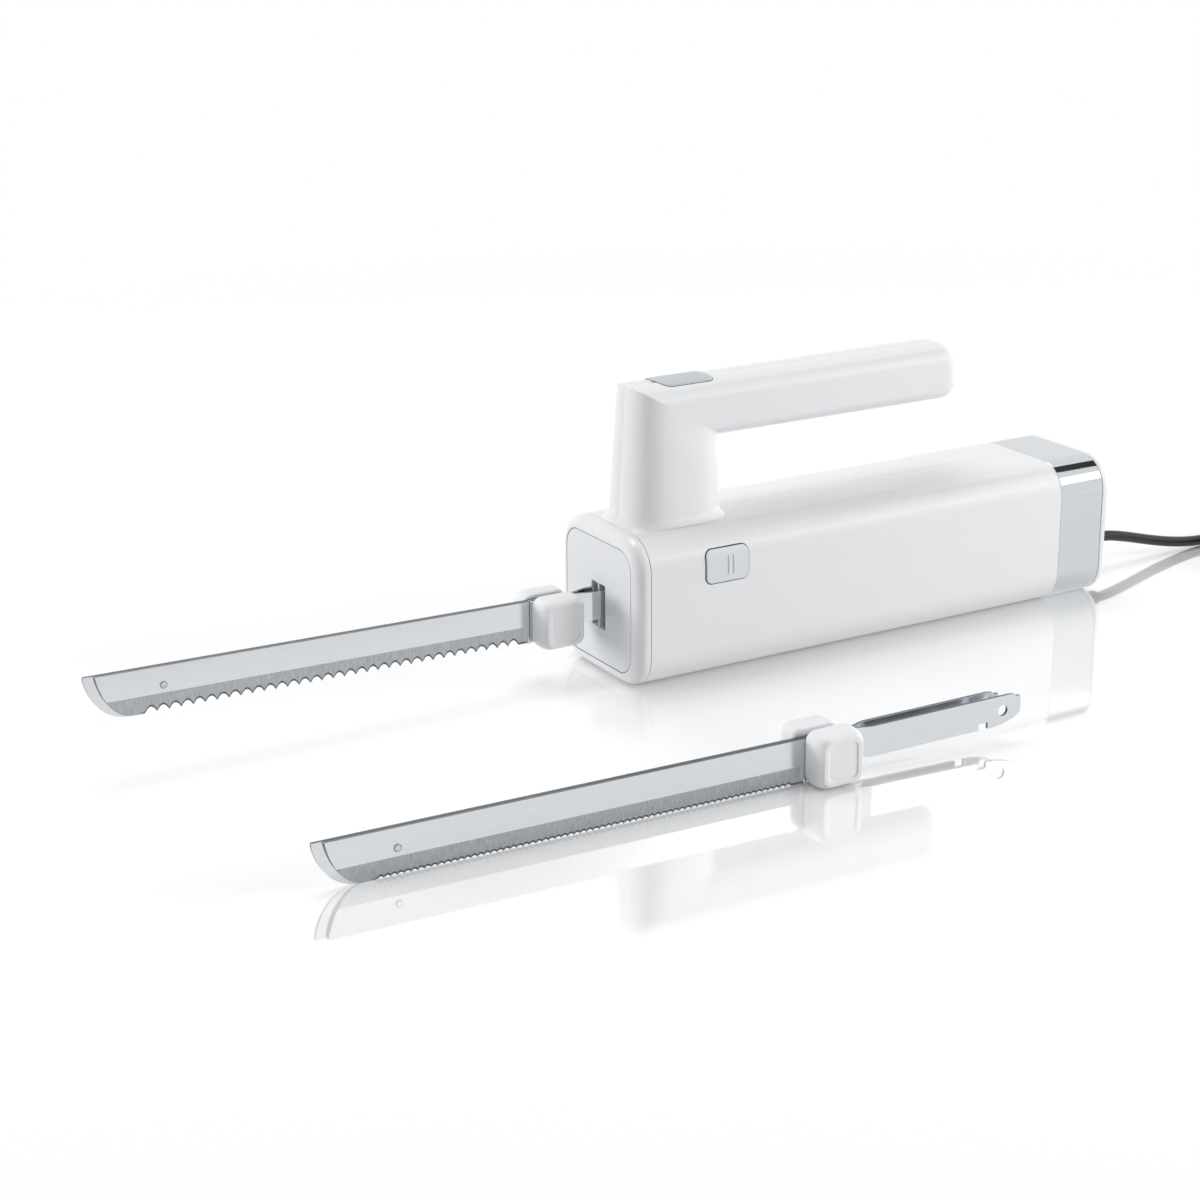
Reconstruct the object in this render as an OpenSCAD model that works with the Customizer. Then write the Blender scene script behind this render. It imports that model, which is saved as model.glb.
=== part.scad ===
// Electric carving knife with a loop-less top handle, two reciprocating blades,
// a spare pair of blades and a mains lead. X runs from the blades to the lead,
// Z is up, and the frame's origin is the middle of the body's flat underside.
// All lengths along X below are measured from the body's front face.

/* [Body] */
// Length of the body, front face to end plate
body_len = 264; // [250:1:290]
// Width of the body
body_w = 67; // [66:1:76]
// Height of the body
body_h = 68; // [68:1:74]
// Radius of the long edges
body_edge_r = 15.4; // [12:0.2:18]
// Wall of the two housing shells
wall = 2.5; // [2:0.1:2.6]
// Depth of the front cap
cap_len = 7; // [6.4:0.1:8]
// Rounding of the front cap's rim
cap_round = 5.5; // [4:0.1:5.6]
// Margin between the cap's outside and the front panel
panel_margin = 5.7; // [5.6:0.1:7]
// Thickness of the front panel
panel_t = 3; // [2:0.1:4]
// Length of the bright band at the rear
band_len = 25.3; // [20:0.1:30]
// Thickness of the bright band
band_t = 1.2; // [0.8:0.1:1.4]
// Thickness of the end plate
end_plate_t = 3.7; // [3:0.1:5]
// Rounding of the end plate's edge
end_round = 2; // [1:0.1:2.8]

/* [Blade slots] */
// Width of one slot in the front panel
slot_w = 5.05; // [4.6:0.05:5.2]
// Height of one slot
slot_h = 20.3; // [16:0.1:22]
// Lowest edge of the slots
slot_low_z = 21.5; // [19:0.1:24]
// Bar between the two slots
slot_bar = 1.3; // [1.2:0.1:1.6]

/* [Handle] */
// Front of the pillar at its foot
pillar_front = 9.9; // [8:0.1:12]
// Rear of the pillar
pillar_rear = 57.9; // [54:0.1:60]
// How far the pillar's front leans back by its top
pillar_lean = 4; // [0:0.1:6]
// Width of the pillar at its foot
pillar_w = 36; // [34:0.1:40]
// Width of the pillar at its top
pillar_top_w = 30.6; // [30:0.1:33]
// Width of the grip
grip_w = 30; // [28:0.1:31]
// Height of the grip
grip_h = 26.4; // [26:0.1:29]
// Height of the grip's middle above the table
grip_z = 116; // [114:0.5:124]
// Rear end of the grip
grip_end = 192; // [170:1:215]
// Rounding of the grip's end
grip_round = 8; // [5:0.2:10]
// Wall of the handle shells
handle_wall = 2.2; // [1.8:0.1:2.6]
// Spread of the flare at the pillar's foot
flare = 2.4; // [0:0.1:3]
// Height of the flare
flare_h = 5; // [3:0.1:8]

/* [Controls] */
// Length of the power button
power_len = 28; // [24:0.5:30]
// Width of the power button
power_w = 18.4; // [14:0.2:20]
// Front of the power button
power_x = 28; // [26:0.5:30]
// How far the power button stands proud
power_proud = 0.5; // [0.2:0.1:1]
// Travel of the power button
power_travel = 2; // [1:0.1:2.4]
// Length of a release button
release_len = 22.1; // [18:0.1:24]
// Height of a release button
release_h = 15.2; // [13:0.1:16]
// Middle of the release buttons along the body
release_x = 46; // [45:0.1:47]
// Middle of the release buttons below the body's top
release_drop = 16; // [15.5:0.1:16.5]
// How far a release button stands proud
release_proud = 0.6; // [0.3:0.1:1]
// Travel of a release button
release_travel = 2.4; // [1.5:0.1:2.6]

/* [Blades] */
// Tip of the far blade, in front of the body
far_tip = 237.5; // [200:0.5:260]
// How much shorter the near blade is
tip_step = 5.5; // [4:0.1:8]
// Height of a blade from spine to tooth points
blade_h = 19.4; // [16:0.1:19.8]
// Thickness of a blade
blade_t = 1.4; // [1:0.05:1.5]
// Gap between the two blades
blade_gap = 0.2; // [0.15:0.05:0.3]
// Height of the spine above the table at the guard
spine_z = 40; // [39.8:0.1:40.4]
// Rise of the blades towards their tips, degrees
blade_rise = 0.9; // [0:0.1:1.2]
// Distance between tooth points
tooth_pitch = 5.4; // [4:0.1:8]
// Depth of a tooth
tooth_depth = 2.6; // [1:0.1:3.2]
// Depth of a spare blade's fine teeth
fine_depth = 0.8; // [0.4:0.1:1.2]
// Height of the ground edge
bevel_h = 7.9; // [5:0.1:9]
// Thickness left at the ground edge
edge_t = 0.3; // [0.2:0.05:0.5]
// Height of a tang
tang_h = 13; // [12:0.1:13.2]
// Middle height of the tangs
tang_z = 33; // [32.8:0.1:33.2]
// Distance of each tang's middle from the body's middle plane
tang_y = 3.2; // [3.1:0.05:3.3]
// Length of tang inside the body
tang_in = 65; // [60:0.5:65.2]
// Distance between the tip and the rivet
rivet_back = 28.2; // [24:0.1:34]
// Diameter of the rivet's heads
rivet_head_d = 3.2; // [2.8:0.1:3.6]

/* [Blade guards] */
// Front of the guards, in front of the body
guard_front = 38; // [36:0.5:42]
// Rear of the guards, in front of the body
guard_rear = 15.5; // [15:0.1:17]
// Height of a guard
guard_h = 23.8; // [22:0.1:24]
// Thickness of a guard, outwards from its blade
guard_t = 12; // [8:0.1:13]
// Rounding of the guard's corners
guard_r = 4.4; // [3:0.1:6]
// Lowest edge of the guards
guard_low_z = 20.5; // [20.4:0.05:20.6]

/* [Drive] */
// Half of a blade's stroke
crank_r = 4.5; // [3:0.1:4.6]
// Middle of the drive wheel along the body
wheel_x = 95; // [94.8:0.1:95.2]
// Middle height of the drive wheel
wheel_z = 29; // [28.9:0.05:29.1]
// Teeth on the drive wheel
wheel_teeth = 20; // [20:20:20]
// Pitch radius of the drive wheel
wheel_pitch_r = 11; // [11:0.01:11.02]
// Pitch radius of the worm
worm_pitch_r = 4.5; // [4.5:0.02:4.6]
// Radius of each eccentric
eccentric_r = 8; // [7:0.1:8]
// Radius of the motor shaft
shaft_r = 2; // [1.5:0.1:2.2]
// Radius of the motor's stator
stator_r = 19; // [17:0.1:19.2]
// Length of the stator, as a share of the room behind the drive wheel
stator_len_share = 0.2267; // [0.2:0.01:0.23]

/* [Lead] */
// Diameter of the mains lead
cord_d = 5.2; // [4.8:0.1:5.4]
// Height at which the lead leaves the body
cord_z = 16; // [15:0.5:17]
// Length of the strain relief outside the body
relief_len = 26; // [20:1:30]
// Radius of the coil's innermost turn, at the cord's middle
coil_in_r = 21.55; // [21:0.05:24]
// Distance between the middles of neighbouring turns
coil_pitch = 5.7; // [5.7:0.05:6.2]
// Turns of the coil
coil_turns = 7; // [5:1:9]
// Length of the plug's pins
plug_pin_len = 19; // [15:0.5:20]

/* [Spare blades] */
// How much longer the spare blades are
spare_extra = 8; // [0:0.5:10]
// Front of the spare guards, behind the body's front face
spare_x = 7.4; // [-20:0.2:20]
// Distance of the spare blades' middle from the body's middle plane
spare_y = -151; // [-170:1:-120]
// Turn of the spare blades on the table, degrees
spare_turn = 2.1; // [0:0.1:10]

/* [Hidden] */
$fn = 64;

// Overrun of every cut, and the clearances between pieces
cut = 1;
slide_gap = 0.3;
fit_gap = 0.1;
bush_gap = 0.05;
button_gap = 0.25;

// Body
band_end = body_len - end_plate_t;
band_x = band_end - band_len;
mid_z = body_h/2;
cavity_half_w = body_w/2 - wall;
reach = 4*body_len;
ring_steps = 8;
round_steps = 5;
seam_w = 0.3;
seam_depth = 0.5;

// Room behind the drive wheel, and places in it as shares of that room
wheel_room = 1.5;
yoke_half_len = 13;
motor_plate_x = wheel_x + yoke_half_len + crank_r + wheel_room;
rear_run = body_len - motor_plate_x;
function rear_at(share) = motor_plate_x + share*rear_run;
fan_share = 0.0433;
stator_share = 0.12;
commutator_share = 0.4;
rear_plate_share = 0.48;
boss_rear_share = 0.57;
capacitor_share = 0.62;
block_share = 0.68;
base_end_share = 0.8;
clamp_share = 0.84;
fan_disc_share = 0.0093;
fan_blade_share = 0.0333;
winding_share = 0.0333;
coil_over_share = 0.0267;
commutator_len_share = 0.06;
capacitor_len_share = 0.05;
block_len_share = 0.0933;
clamp_len_share = 0.0667;
stator_x = rear_at(stator_share);
stator_len = stator_len_share*rear_run;

// Housing bosses and screws, as [x, z] places
boss_r = 4.2;
boss_front_x = 27;
boss_rear_x = rear_at(boss_rear_share);
boss_low_z = 10;
boss_high_z = body_h - boss_low_z;
BOSSES = [[boss_front_x, boss_low_z], [boss_front_x, boss_high_z],
    [boss_rear_x, boss_low_z], [boss_rear_x, boss_high_z]];
screw_r = 1.5;
screw_head_r = 3;
screw_head_h = 2.5;
screw_seat_y = 12;
screw_grip = 12;

// Handle
squareness = 3;
ring_sides = 40;
mitre_out = [pillar_front + pillar_lean, grip_z + grip_h/2];
mitre_in = [pillar_rear, grip_z - grip_h/2];
mitre_run = mitre_in - mitre_out;
flare_steps_shares = [[0, 1], [0.2, 0.55], [0.5, 0.2], [1, 0]];
foot_boss_x_shares = [0.28, 0.8];
foot_boss_y = 8.5;
foot_boss_h = 10;
lead_hole_r = 5.5;
lead_hole_x = pillar_front + 0.5*(pillar_rear - pillar_front);
grip_boss_x = 150;
shelf_z = 103.5;
shelf_t = 2;
shelf_in_y = 6;

// Power switch
power_corner_r = 3.5;
power_skirt = 5.5;
power_lip = 1.5;
switch_len = 16;
switch_w = 16;
switch_h = 12;
switch_x = power_x + power_len/2;
plunger_r = 2;
switch_wire_r = 0.3;
power_floor_z = grip_z + grip_h/2 - power_skirt;
switch_low_z = shelf_z + shelf_t;
switch_top_z = switch_low_z + switch_h;
switch_spring_r = 3.2;

// Release buttons
release_r = 3.2;
release_z = body_h - release_drop;
release_lip = 1.6;
release_lip_t = 1.5;
release_t = wall + release_proud;
release_arm_w = 6;
release_arm_h = 4;
release_arm_z = 50;
release_arm_end = 2.9;
release_ridge_r = 0.45;
release_ridge_x = 1.8;
release_ridge_half = 1.3;
release_ridge_h = 9;
release_spring_r = 2.2;
release_spring_z = 41;
release_foot = 7.5;
release_post_r = 1.4;
release_post_len = 7;
spring_wire_r = 0.35;
spring_turns = 5;
spring_sides = 5;
spring_rings = 8;

// Chassis
base_t = 3;
base_z = wall;
base_half_w = 18;
base_front = 10;
base_rear = rear_at(base_end_share);
rail_in_y = 10.5;
rail_out_y = 13.5;
rail_front = 14;
rail_low_top = 44;
rail_step_x = 72;
rail_rear = 112;
beam_front = 78;
beam_rear = 84;
beam_low_z = 47;
beam_top_z = 52;
beam_block_half = 5.2;
beam_block_low = 38.5;
motor_z = wheel_z + wheel_pitch_r + worm_pitch_r;
front_bush_r = 4;
rear_bush_r = 5;
motor_plate_t = 4;
motor_plate_top = body_h - 2*motor_plate_t;
motor_hole_r = 8;
rear_plate_x = rear_at(rear_plate_share);
cradle_t = 4;
cradle_inset = 6;
guide_front = 14;
guide_rear = 72;
guide_floor_z = 18.5;
guide_floor_t = 3.2;
guide_liner_t = 0.9;
guide_top_z = 46.3;
guide_bar = 6;
guide_bar_t = 2;
guide_foot = 5;

// Blade carriers
carrier_low_z = 22;
carrier_top_z = 44;
carrier_front = 12;
carrier_out_y = 9.2;
carrier_lip_y = 2;
carrier_lip_rear = 48;
carrier_stop = 4.5;
tang_side_gap = 0.3;
yoke_in_y = 6.2;
yoke_low_z = 12.3;
yoke_top_z = 45.7;
yoke_window_half = eccentric_r + 0.21*crank_r + fit_gap;
yoke_window_h = crank_r + eccentric_r + 2*slide_gap + fit_gap;
neck_low_z = 24;
neck_top_z = 42;

// Catches
catch_t = 0.5;
catch_front = 14;
catch_low_z = 23;
catch_top_z = 43;
catch_root = 8;
catch_half_h = 3;
catch_hole_back = 9;
catch_hole_r = 2.35;
catch_dimple_r = 2;
catch_tab_w = 10;
catch_tab_top = 52;
notch_back = 21;
notch_w = 4.4;
notch_depth = 2.8;

// Drive wheel and worm
axial_pitch = 2*PI*wheel_pitch_r/wheel_teeth;
worm_starts = 2;
worm_lead = worm_starts*axial_pitch;
worm_len = 18;
worm_core_r = 3.4;
worm_tip_r = 4.9;
worm_slices = 26;
// One start of the worm: angle as a share of a start, height as a share of the thread
thread_shares = [[-0.19, 0], [-0.155, 1], [-0.05, 1], [0.05, 1], [0.155, 1], [0.19, 0], [0.345, 0],
    [0.5, 0], [0.655, 0]];
wheel_tip_r = 11.4;
wheel_root_r = 9.6;
tooth_t = 1.2;
tooth_tip_t = 0.9;
wheel_half_t = 2;
eccentric_in = 5.3;
eccentric_end = 9.4;
wheel_collar_r = 6;
axle_r = 2;
hub_r = 3.4;
hub_end = 10.2;

// Motor
pole_r = 11.6;
core_r = 11;
core_slots = 12;
core_slot_r = 1.1;
core_slot_at = 9.6;
coil_in = 12.4;
coil_out = 16.4;
coil_half_h = 8;
coil_over = coil_over_share*rear_run;
winding_r = 8.6;
winding_len = winding_share*rear_run;
commutator_x = rear_at(commutator_share);
commutator_len = commutator_len_share*rear_run;
commutator_r = 6.5;
commutator_bars = 12;
commutator_slit = 0.4;
brush_gap = 0.15;
brush_len = 7;
brush_w = 4;
brush_h = 5;
holder_wall = 1.2;
holder_end = 19;
holder_cap_t = 1.2;
fan_x = rear_at(fan_share);
fan_r = 16.5;
fan_disc_t = fan_disc_share*rear_run;
fan_hub_r = 5;
fan_blade_h = fan_blade_share*rear_run;
fan_blade_t = 1;
fan_blades = 9;
shaft_front = 77;
shaft_end = 3;
bearing_t = 4;
shaft_rear = rear_plate_x + bearing_t + shaft_end;

// Rear electrics and lead
capacitor_len = capacitor_len_share*rear_run;
capacitor_w = 12;
capacitor_h = 18;
capacitor_x = rear_at(capacitor_share);
block_x = rear_at(block_share);
block_len = block_len_share*rear_run;
block_w = 22;
block_h = 14;
clamp_x = rear_at(clamp_share);
clamp_len = clamp_len_share*rear_run;
clamp_w = 22;
clamp_top = 22;
cord_r = cord_d/2;
relief_root_r = 5.4;
relief_tip_r = cord_r + 1;
relief_flange_r = 8;
relief_flange_t = 2;
relief_rings = 5;
relief_ring_w = 1.6;
relief_ring_cut = 0.7;
vent_w = 2;
vent_h = 18;
vent_count = 5;
vent_step = 5;
lead_r = 0.9;
lead_sides = 8;

// Route of the lead, by hand, in the object's own frame
CORD_ROUTE = [[158, 0, 16], [160, 0, 16], [165, 0, 15.5], [171, 0, 14.3], [178, 0, 12.6],
    [187, 0, 10.2], [196, 0, 7.9], [205, 0, 5.9], [214, 0.1, 4.3], [222, 0.3, 3.3],
    [230, 0.6, 2.8], [238, 0.8, 2.8], [246, 1, 3.2], [252, 1, 3.5], [257, 1, 3.5]];
cord_sides = 10;
coil_x = 262.2;
coil_y = -40.5;
coil_low_z = 3.5;
coil_sides = 6;
coil_rings = 24;
coil_layer = coil_pitch;
coil_stub = 2.5*cord_d;
tie_w = 8;
tie_t = 0.6;
tie_gap = 0.8;
tie_under_gap = coil_low_z - cord_r - tie_t;
plug_relief_len = 18;
plug_relief_r = 5.2;
plug_body_len = 34;
plug_w = 25.9;
plug_t = 13.7;
plug_nose_w = 20;
plug_pin_r = 2;
plug_pin_step = 19;

// Blades
near_tip = far_tip - tip_step;
smooth_tip = 20;
heel_run = 3;
bend_start = -14;
bend_end = -4;
blade_y = blade_gap/2 + blade_t/2;
rivet_r = 1;
rivet_head_t = 0.6;
rivet_low_share = 0.42;
rivet_play = 0.3;
keyhole_extra = 1.2;
guard_panel_w = 14.5;
guard_panel_h = 15.5;
guard_panel_depth = 0.4;
guard_panel_r = 2.5;
scallop_shares = [0.16, 0.33, 0.5, 0.67, 0.84];
// Outline of a blade's tip, from the spine down, as shares of the blade's height
// behind the tip and below the spine
near_tip_shares = [[0, 0.02], [0.02, 0.12], [0.06, 0.27], [0.14, 0.48], [0.26, 0.68], [0.4, 0.84],
    [0.56, 0.95], [0.72, 0.995], [0.88, 1]];
far_tip_shares = [[0, 0.02], [0.005, 0.1], [0.05, 0.28], [0.13, 0.47], [0.25, 0.66], [0.4, 0.82],
    [0.58, 0.93], [0.76, 0.99], [0.96, 1]];

// Rounded rectangle about the origin
module round_rect(w, h, r) {
    square([w - 2*r, h], center = true);
    square([w, h - 2*r], center = true);
    for (sx = [-1, 1], sy = [-1, 1]) {
        translate([sx*(w/2 - r), sy*(h/2 - r)]) circle(r);
    }
}

// Slab of a flat shape between two planes across X; the shape's axes are Y and Z
module along_x(x0, x1) {
    translate([x0, 0, 0]) rotate([90, 0, 90]) linear_extrude(x1 - x0) children();
}

// Slab of a flat shape between two planes across Y; the shape's axes are X and Z
module along_y(y0, y1) {
    translate([0, y1, 0]) rotate([90, 0, 0]) linear_extrude(y1 - y0) children();
}

module block(x, y, z) {
    translate([x[0], y[0], z[0]]) cube([x[1] - x[0], y[1] - y[0], z[1] - z[0]]);
}

module rod_x(x, r, y, z) {
    translate([x[0], y, z]) rotate([0, 90, 0]) cylinder(h = x[1] - x[0], r = r);
}

module rod_y(y, r, x, z) {
    translate([x, y[0], z]) rotate([-90, 0, 0]) cylinder(h = y[1] - y[0], r = r);
}

module rod_z(z, r, x, y) {
    translate([x, y, z[0]]) cylinder(h = z[1] - z[0], r = r);
}

// Outline of the body, drawn in by an inset
module body_slice(inset) {
    translate([0, mid_z]) round_rect(body_w - 2*inset, body_h - 2*inset, body_edge_r - inset);
}

// One side of the middle plane: -1 is the near side, 1 the far side
module half(side) {
    intersection() {
        children();
        block([-reach, reach], [min(0, side*reach), max(0, side*reach)], [-reach, reach]);
    }
}

// The far pieces mirror the near ones
module sided(side) {
    if (side < 0) {
        children();
    } else {
        mirror([0, 1, 0]) children();
    }
}

// Moves a piece from the front face's frame to the object's frame
module seated() {
    translate([-body_len/2, 0, 0]) children();
}

// Mean of a ring's points
function middle(ring) = [for (p = ring) 1]*ring/len(ring);

// Closed skin over rings of equal size, each anticlockwise seen from the ring after it
module skin(rings) {
    n = len(rings[0]);
    m = len(rings);
    points = concat([for (ring = rings) each ring], [middle(rings[0]), middle(rings[m - 1])]);
    sides = [for (i = [0:m - 2], j = [0:n - 1]) let (k = (j + 1)%n) each [
        [i*n + j, (i + 1)*n + j, (i + 1)*n + k], [i*n + j, (i + 1)*n + k, i*n + k]]];
    first = [for (j = [0:n - 1]) [m*n, j, (j + 1)%n]];
    last = [for (j = [0:n - 1]) [m*n + 1, (m - 1)*n + (j + 1)%n, (m - 1)*n + j]];
    polyhedron(points = points, faces = concat(first, sides, last), convexity = 10);
}

// Points of a rounded rectangle
function round_ring(w, h, r) = [for (c = [0:3], k = [0:ring_steps - 1])
    let (a = 90*c + 90*k/(ring_steps - 1), sx = (c == 0 || c == 3) ? 1 : -1, sy = c < 2 ? 1 : -1)
    [sx*(w/2 - r) + r*cos(a), sy*(h/2 - r) + r*sin(a)]];

// Points of a soft square with half sizes hx and hy
function soft_ring(hx, hy) = [for (k = [0:ring_sides - 1])
    let (a = 360*(k + 0.5)/ring_sides)
    [hx*sign(cos(a))*pow(abs(cos(a)), 2/squareness), hy*sign(sin(a))*pow(abs(sin(a)), 2/squareness)]];

function mix(a, b, share) = a + (b - a)*share;
function unit(v) = v/norm(v);

// Direction of a route at its point i
function heading(route, i) =
    unit(route[min(i + 1, len(route) - 1)] - route[max(i - 1, 0)]);

// Rings of a round tube along a route that never runs straight up
function tube_rings(route, r, sides) = [for (i = [0:len(route) - 1])
    let (t = heading(route, i), side = unit(cross([0, 0, 1], t)), up = cross(t, side))
    [for (k = [0:sides - 1]) let (a = 360*k/sides) route[i] + r*(cos(a)*side + sin(a)*up)]];

// Rings of a coil spring about the Z axis
function spring_ring_list(r, wire_r, h) = [for (i = [0:spring_turns*spring_rings])
    let (a = 360*i/spring_rings, at = wire_r + (h - 2*wire_r)*i/(spring_turns*spring_rings))
    [for (k = [0:spring_sides - 1]) let (b = 360*k/spring_sides)
    [(r + wire_r*cos(b))*cos(a), (r + wire_r*cos(b))*sin(a), at + wire_r*sin(b)]]];

module spring(r, wire_r, h) {
    mirror([0, 1, 0]) skin(spring_ring_list(r, wire_r, h));
}

// Handle forms
function pillar_share(z) = (z - body_h)/(mitre_out[1] - body_h);
function flare_at(z) = let (s = (z - body_h)/flare_h) s >= 1 ? 0 : flare*lookup(s, flare_steps_shares);
function pillar_ring(z, inset) =
    let (front = pillar_front + pillar_lean*pillar_share(z), grow = flare_at(z) - inset,
        hx = (pillar_rear - front)/2 + grow,
        hy = mix(pillar_w, pillar_top_w, pillar_share(z))/2 + grow)
    [for (p = soft_ring(hx, hy)) [(front + pillar_rear)/2 + p[0], p[1], z]];
function grip_ring(x, inset) =
    [for (p = soft_ring(grip_w/2 - inset, grip_h/2 - inset)) [x, p[0], grip_z + p[1]]];

// Keeps the part of the handle below or above the mitre between pillar and grip
module mitre_side(above) {
    start = mitre_out - mitre_run;
    stop = mitre_in + mitre_run;
    corner = above ? [reach, reach] : [-reach, -reach];
    intersection() {
        children();
        along_y(-body_w, body_w) polygon(above
            ? [start, stop, [reach, stop[1]], corner, [start[0], reach]]
            : [start, stop, [stop[0], -reach], corner, [-reach, start[1]]]);
    }
}

module handle_form(inset) {
    foot_z = body_h - (inset > 0 ? cut : 0);
    mitre_side(false) skin([for (z = concat([for (s = flare_steps_shares) foot_z + s[0]*flare_h],
        [mid_grip_top()])) pillar_ring(z, inset)]);
    end = grip_end - inset;
    r = max(grip_round - inset, fit_gap);
    mitre_side(true) skin(concat([grip_ring(0, inset)],
        [for (k = [0:round_steps]) let (a = 90*k/round_steps)
        grip_ring(end - r + r*sin(a), inset + r*(1 - cos(a)))]));
}

function mid_grip_top() = mitre_out[1] - mitre_run[1]/2;

// Flat outline of the power button, widened by a gap
module power_outline(gap) {
    translate([power_x + power_len/2, 0])
        round_rect(power_len + 2*gap, power_w + 2*gap, power_corner_r + gap);
}

module housing_form() {
    difference() {
        union() {
            along_x(cap_len, band_x) body_slice(0);
            along_x(band_x, band_end) body_slice(band_t + fit_gap);
        }
        along_x(cap_len - cut, band_end + cut) body_slice(wall);
        for (x = [cap_len, band_x - seam_w]) {
            along_x(x, x + seam_w) difference() {
                body_slice(-cut);
                body_slice(seam_depth);
            }
        }
        for (z = [-cut, body_h - seam_depth]) {
            block([cap_len - cut, band_x + cut], [-seam_w/2, seam_w/2], [z, z + seam_depth + cut]);
        }
        rod_z([body_h - wall - cut, body_h + cut], lead_hole_r, lead_hole_x, 0);
        for (share = foot_boss_x_shares, side = [-1, 1]) {
            rod_z([body_h - wall - cut, body_h + cut], screw_r + fit_gap,
                mix(pillar_front, pillar_rear, share), side*foot_boss_y);
        }
        along_y(-reach, reach) translate([release_x, release_z])
            round_rect(release_len + 2*button_gap, release_h + 2*button_gap, release_r + button_gap);
    }
}

// Bosses for the screws that join the shells, cut to the shell's outside
module housing_bosses(side) {
    intersection() {
        for (b = BOSSES) {
            rod_y([min(0, side*cavity_half_w) - wall/2, max(0, side*cavity_half_w) + wall/2],
                boss_r, b[0], b[1]);
        }
        along_x(cap_len, band_x) body_slice(wall/2);
    }
}

module housing_left() {
    color("white") difference() {
        half(-1) union() {
            housing_form();
            housing_bosses(-1);
        }
        for (b = BOSSES) {
            rod_y([-screw_grip - cut, cut], screw_r, b[0], b[1]);
        }
    }
}

module housing_right() {
    color("white") difference() {
        half(1) union() {
            housing_form();
            housing_bosses(1);
        }
        for (b = BOSSES) {
            rod_y([-cut, screw_seat_y + cut], screw_r, b[0], b[1]);
            rod_y([screw_seat_y, body_w], screw_head_r + button_gap, b[0], b[1]);
        }
    }
}

module housing_screws() {
    color("silver") for (b = BOSSES) {
        rod_y([-screw_grip, screw_seat_y], screw_r, b[0], b[1]);
        rod_y([screw_seat_y, screw_seat_y + screw_head_h], screw_head_r, b[0], b[1]);
    }
}

// Ring of points round the body at x, drawn in by an inset
function body_ring(x, inset) =
    [for (p = round_ring(body_w - 2*inset, body_h - 2*inset, body_edge_r - inset)) [x, p[0], mid_z + p[1]]];

module front_cap() {
    color("white") difference() {
        skin(concat([for (k = [0:round_steps]) let (a = 90*k/round_steps)
            body_ring(cap_round*(1 - cos(a)), cap_round*(1 - sin(a)))], [body_ring(cap_len, 0)]));
        along_x(-cut, cap_len + cut) body_slice(panel_margin);
    }
}

module slots() {
    for (side = [-1, 1]) {
        translate([side*(slot_bar + slot_w)/2, slot_low_z + slot_h/2])
            square([slot_w, slot_h], center = true);
    }
}

module front_panel() {
    color("gainsboro") difference() {
        along_x(0, panel_t) body_slice(panel_margin);
        along_x(-cut, panel_t + cut) slots();
    }
}

module chrome_band() {
    color("silver") difference() {
        along_x(band_x, band_end) body_slice(0);
        along_x(band_x - cut, band_end + cut) body_slice(band_t);
    }
}

module end_plate() {
    color("white") difference() {
        skin(concat([body_ring(band_end, 0)], [for (k = [0:round_steps]) let (a = 90*k/round_steps)
            body_ring(body_len - end_round*(1 - sin(a)), end_round*(1 - cos(a)))]));
        rod_x([band_end - cut, body_len + cut], relief_root_r, 0, cord_z);
        for (i = [0:vent_count - 1]) {
            along_x(band_end - cut, body_len + cut)
                translate([(i - (vent_count - 1)/2)*vent_step, mid_z + vent_h/2])
                square([vent_w, vent_h], center = true);
        }
    }
}

module handle_shell(side) {
    difference() {
        half(side) union() {
            difference() {
                handle_form(0);
                handle_form(handle_wall);
            }
            intersection() {
                handle_form(handle_wall/2);
                union() {
                    for (share = foot_boss_x_shares) {
                        x = mix(pillar_front, pillar_rear, share);
                        rod_z([body_h, body_h + foot_boss_h], screw_head_r, x, side*foot_boss_y);
                        block([x - handle_wall/2, x + handle_wall/2],
                            [min(side*foot_boss_y, side*pillar_w), max(side*foot_boss_y, side*pillar_w)],
                            [body_h, body_h + foot_boss_h]);
                    }
                    rod_y([min(0, side*grip_w), max(0, side*grip_w)], boss_r, grip_boss_x, grip_z);
                    block([switch_x - switch_len/2, switch_x + switch_len/2],
                        [min(side*shelf_in_y, side*pillar_w), max(side*shelf_in_y, side*pillar_w)],
                        [shelf_z, shelf_z + shelf_t]);
                }
            }
        }
        translate([0, 0, power_floor_z]) linear_extrude(grip_h) power_outline(button_gap);
        for (share = foot_boss_x_shares) {
            rod_z([body_h - cut, body_h + foot_boss_h - handle_wall], screw_r,
                mix(pillar_front, pillar_rear, share), side*foot_boss_y);
        }
        if (side > 0) {
            rod_y([-cut, grip_w], screw_r, grip_boss_x, grip_z);
            rod_y([grip_w/6, grip_w], screw_head_r + button_gap, grip_boss_x, grip_z);
        } else {
            rod_y([-grip_w/4, cut], screw_r, grip_boss_x, grip_z);
        }
    }
}

module handle_left() {
    color("white") handle_shell(-1);
}

module handle_right() {
    color("white") handle_shell(1);
}

module handle_screws() {
    color("silver") {
        for (share = foot_boss_x_shares, side = [-1, 1]) {
            x = mix(pillar_front, pillar_rear, share);
            rod_z([body_h - wall, body_h + foot_boss_h - handle_wall], screw_r, x, side*foot_boss_y);
            rod_z([body_h - wall - screw_head_h, body_h - wall], screw_head_r, x, side*foot_boss_y);
        }
        rod_y([-grip_w/4, grip_w/6], screw_r, grip_boss_x, grip_z);
        rod_y([grip_w/6, grip_w/6 + screw_head_h], screw_head_r, grip_boss_x, grip_z);
    }
}

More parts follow.
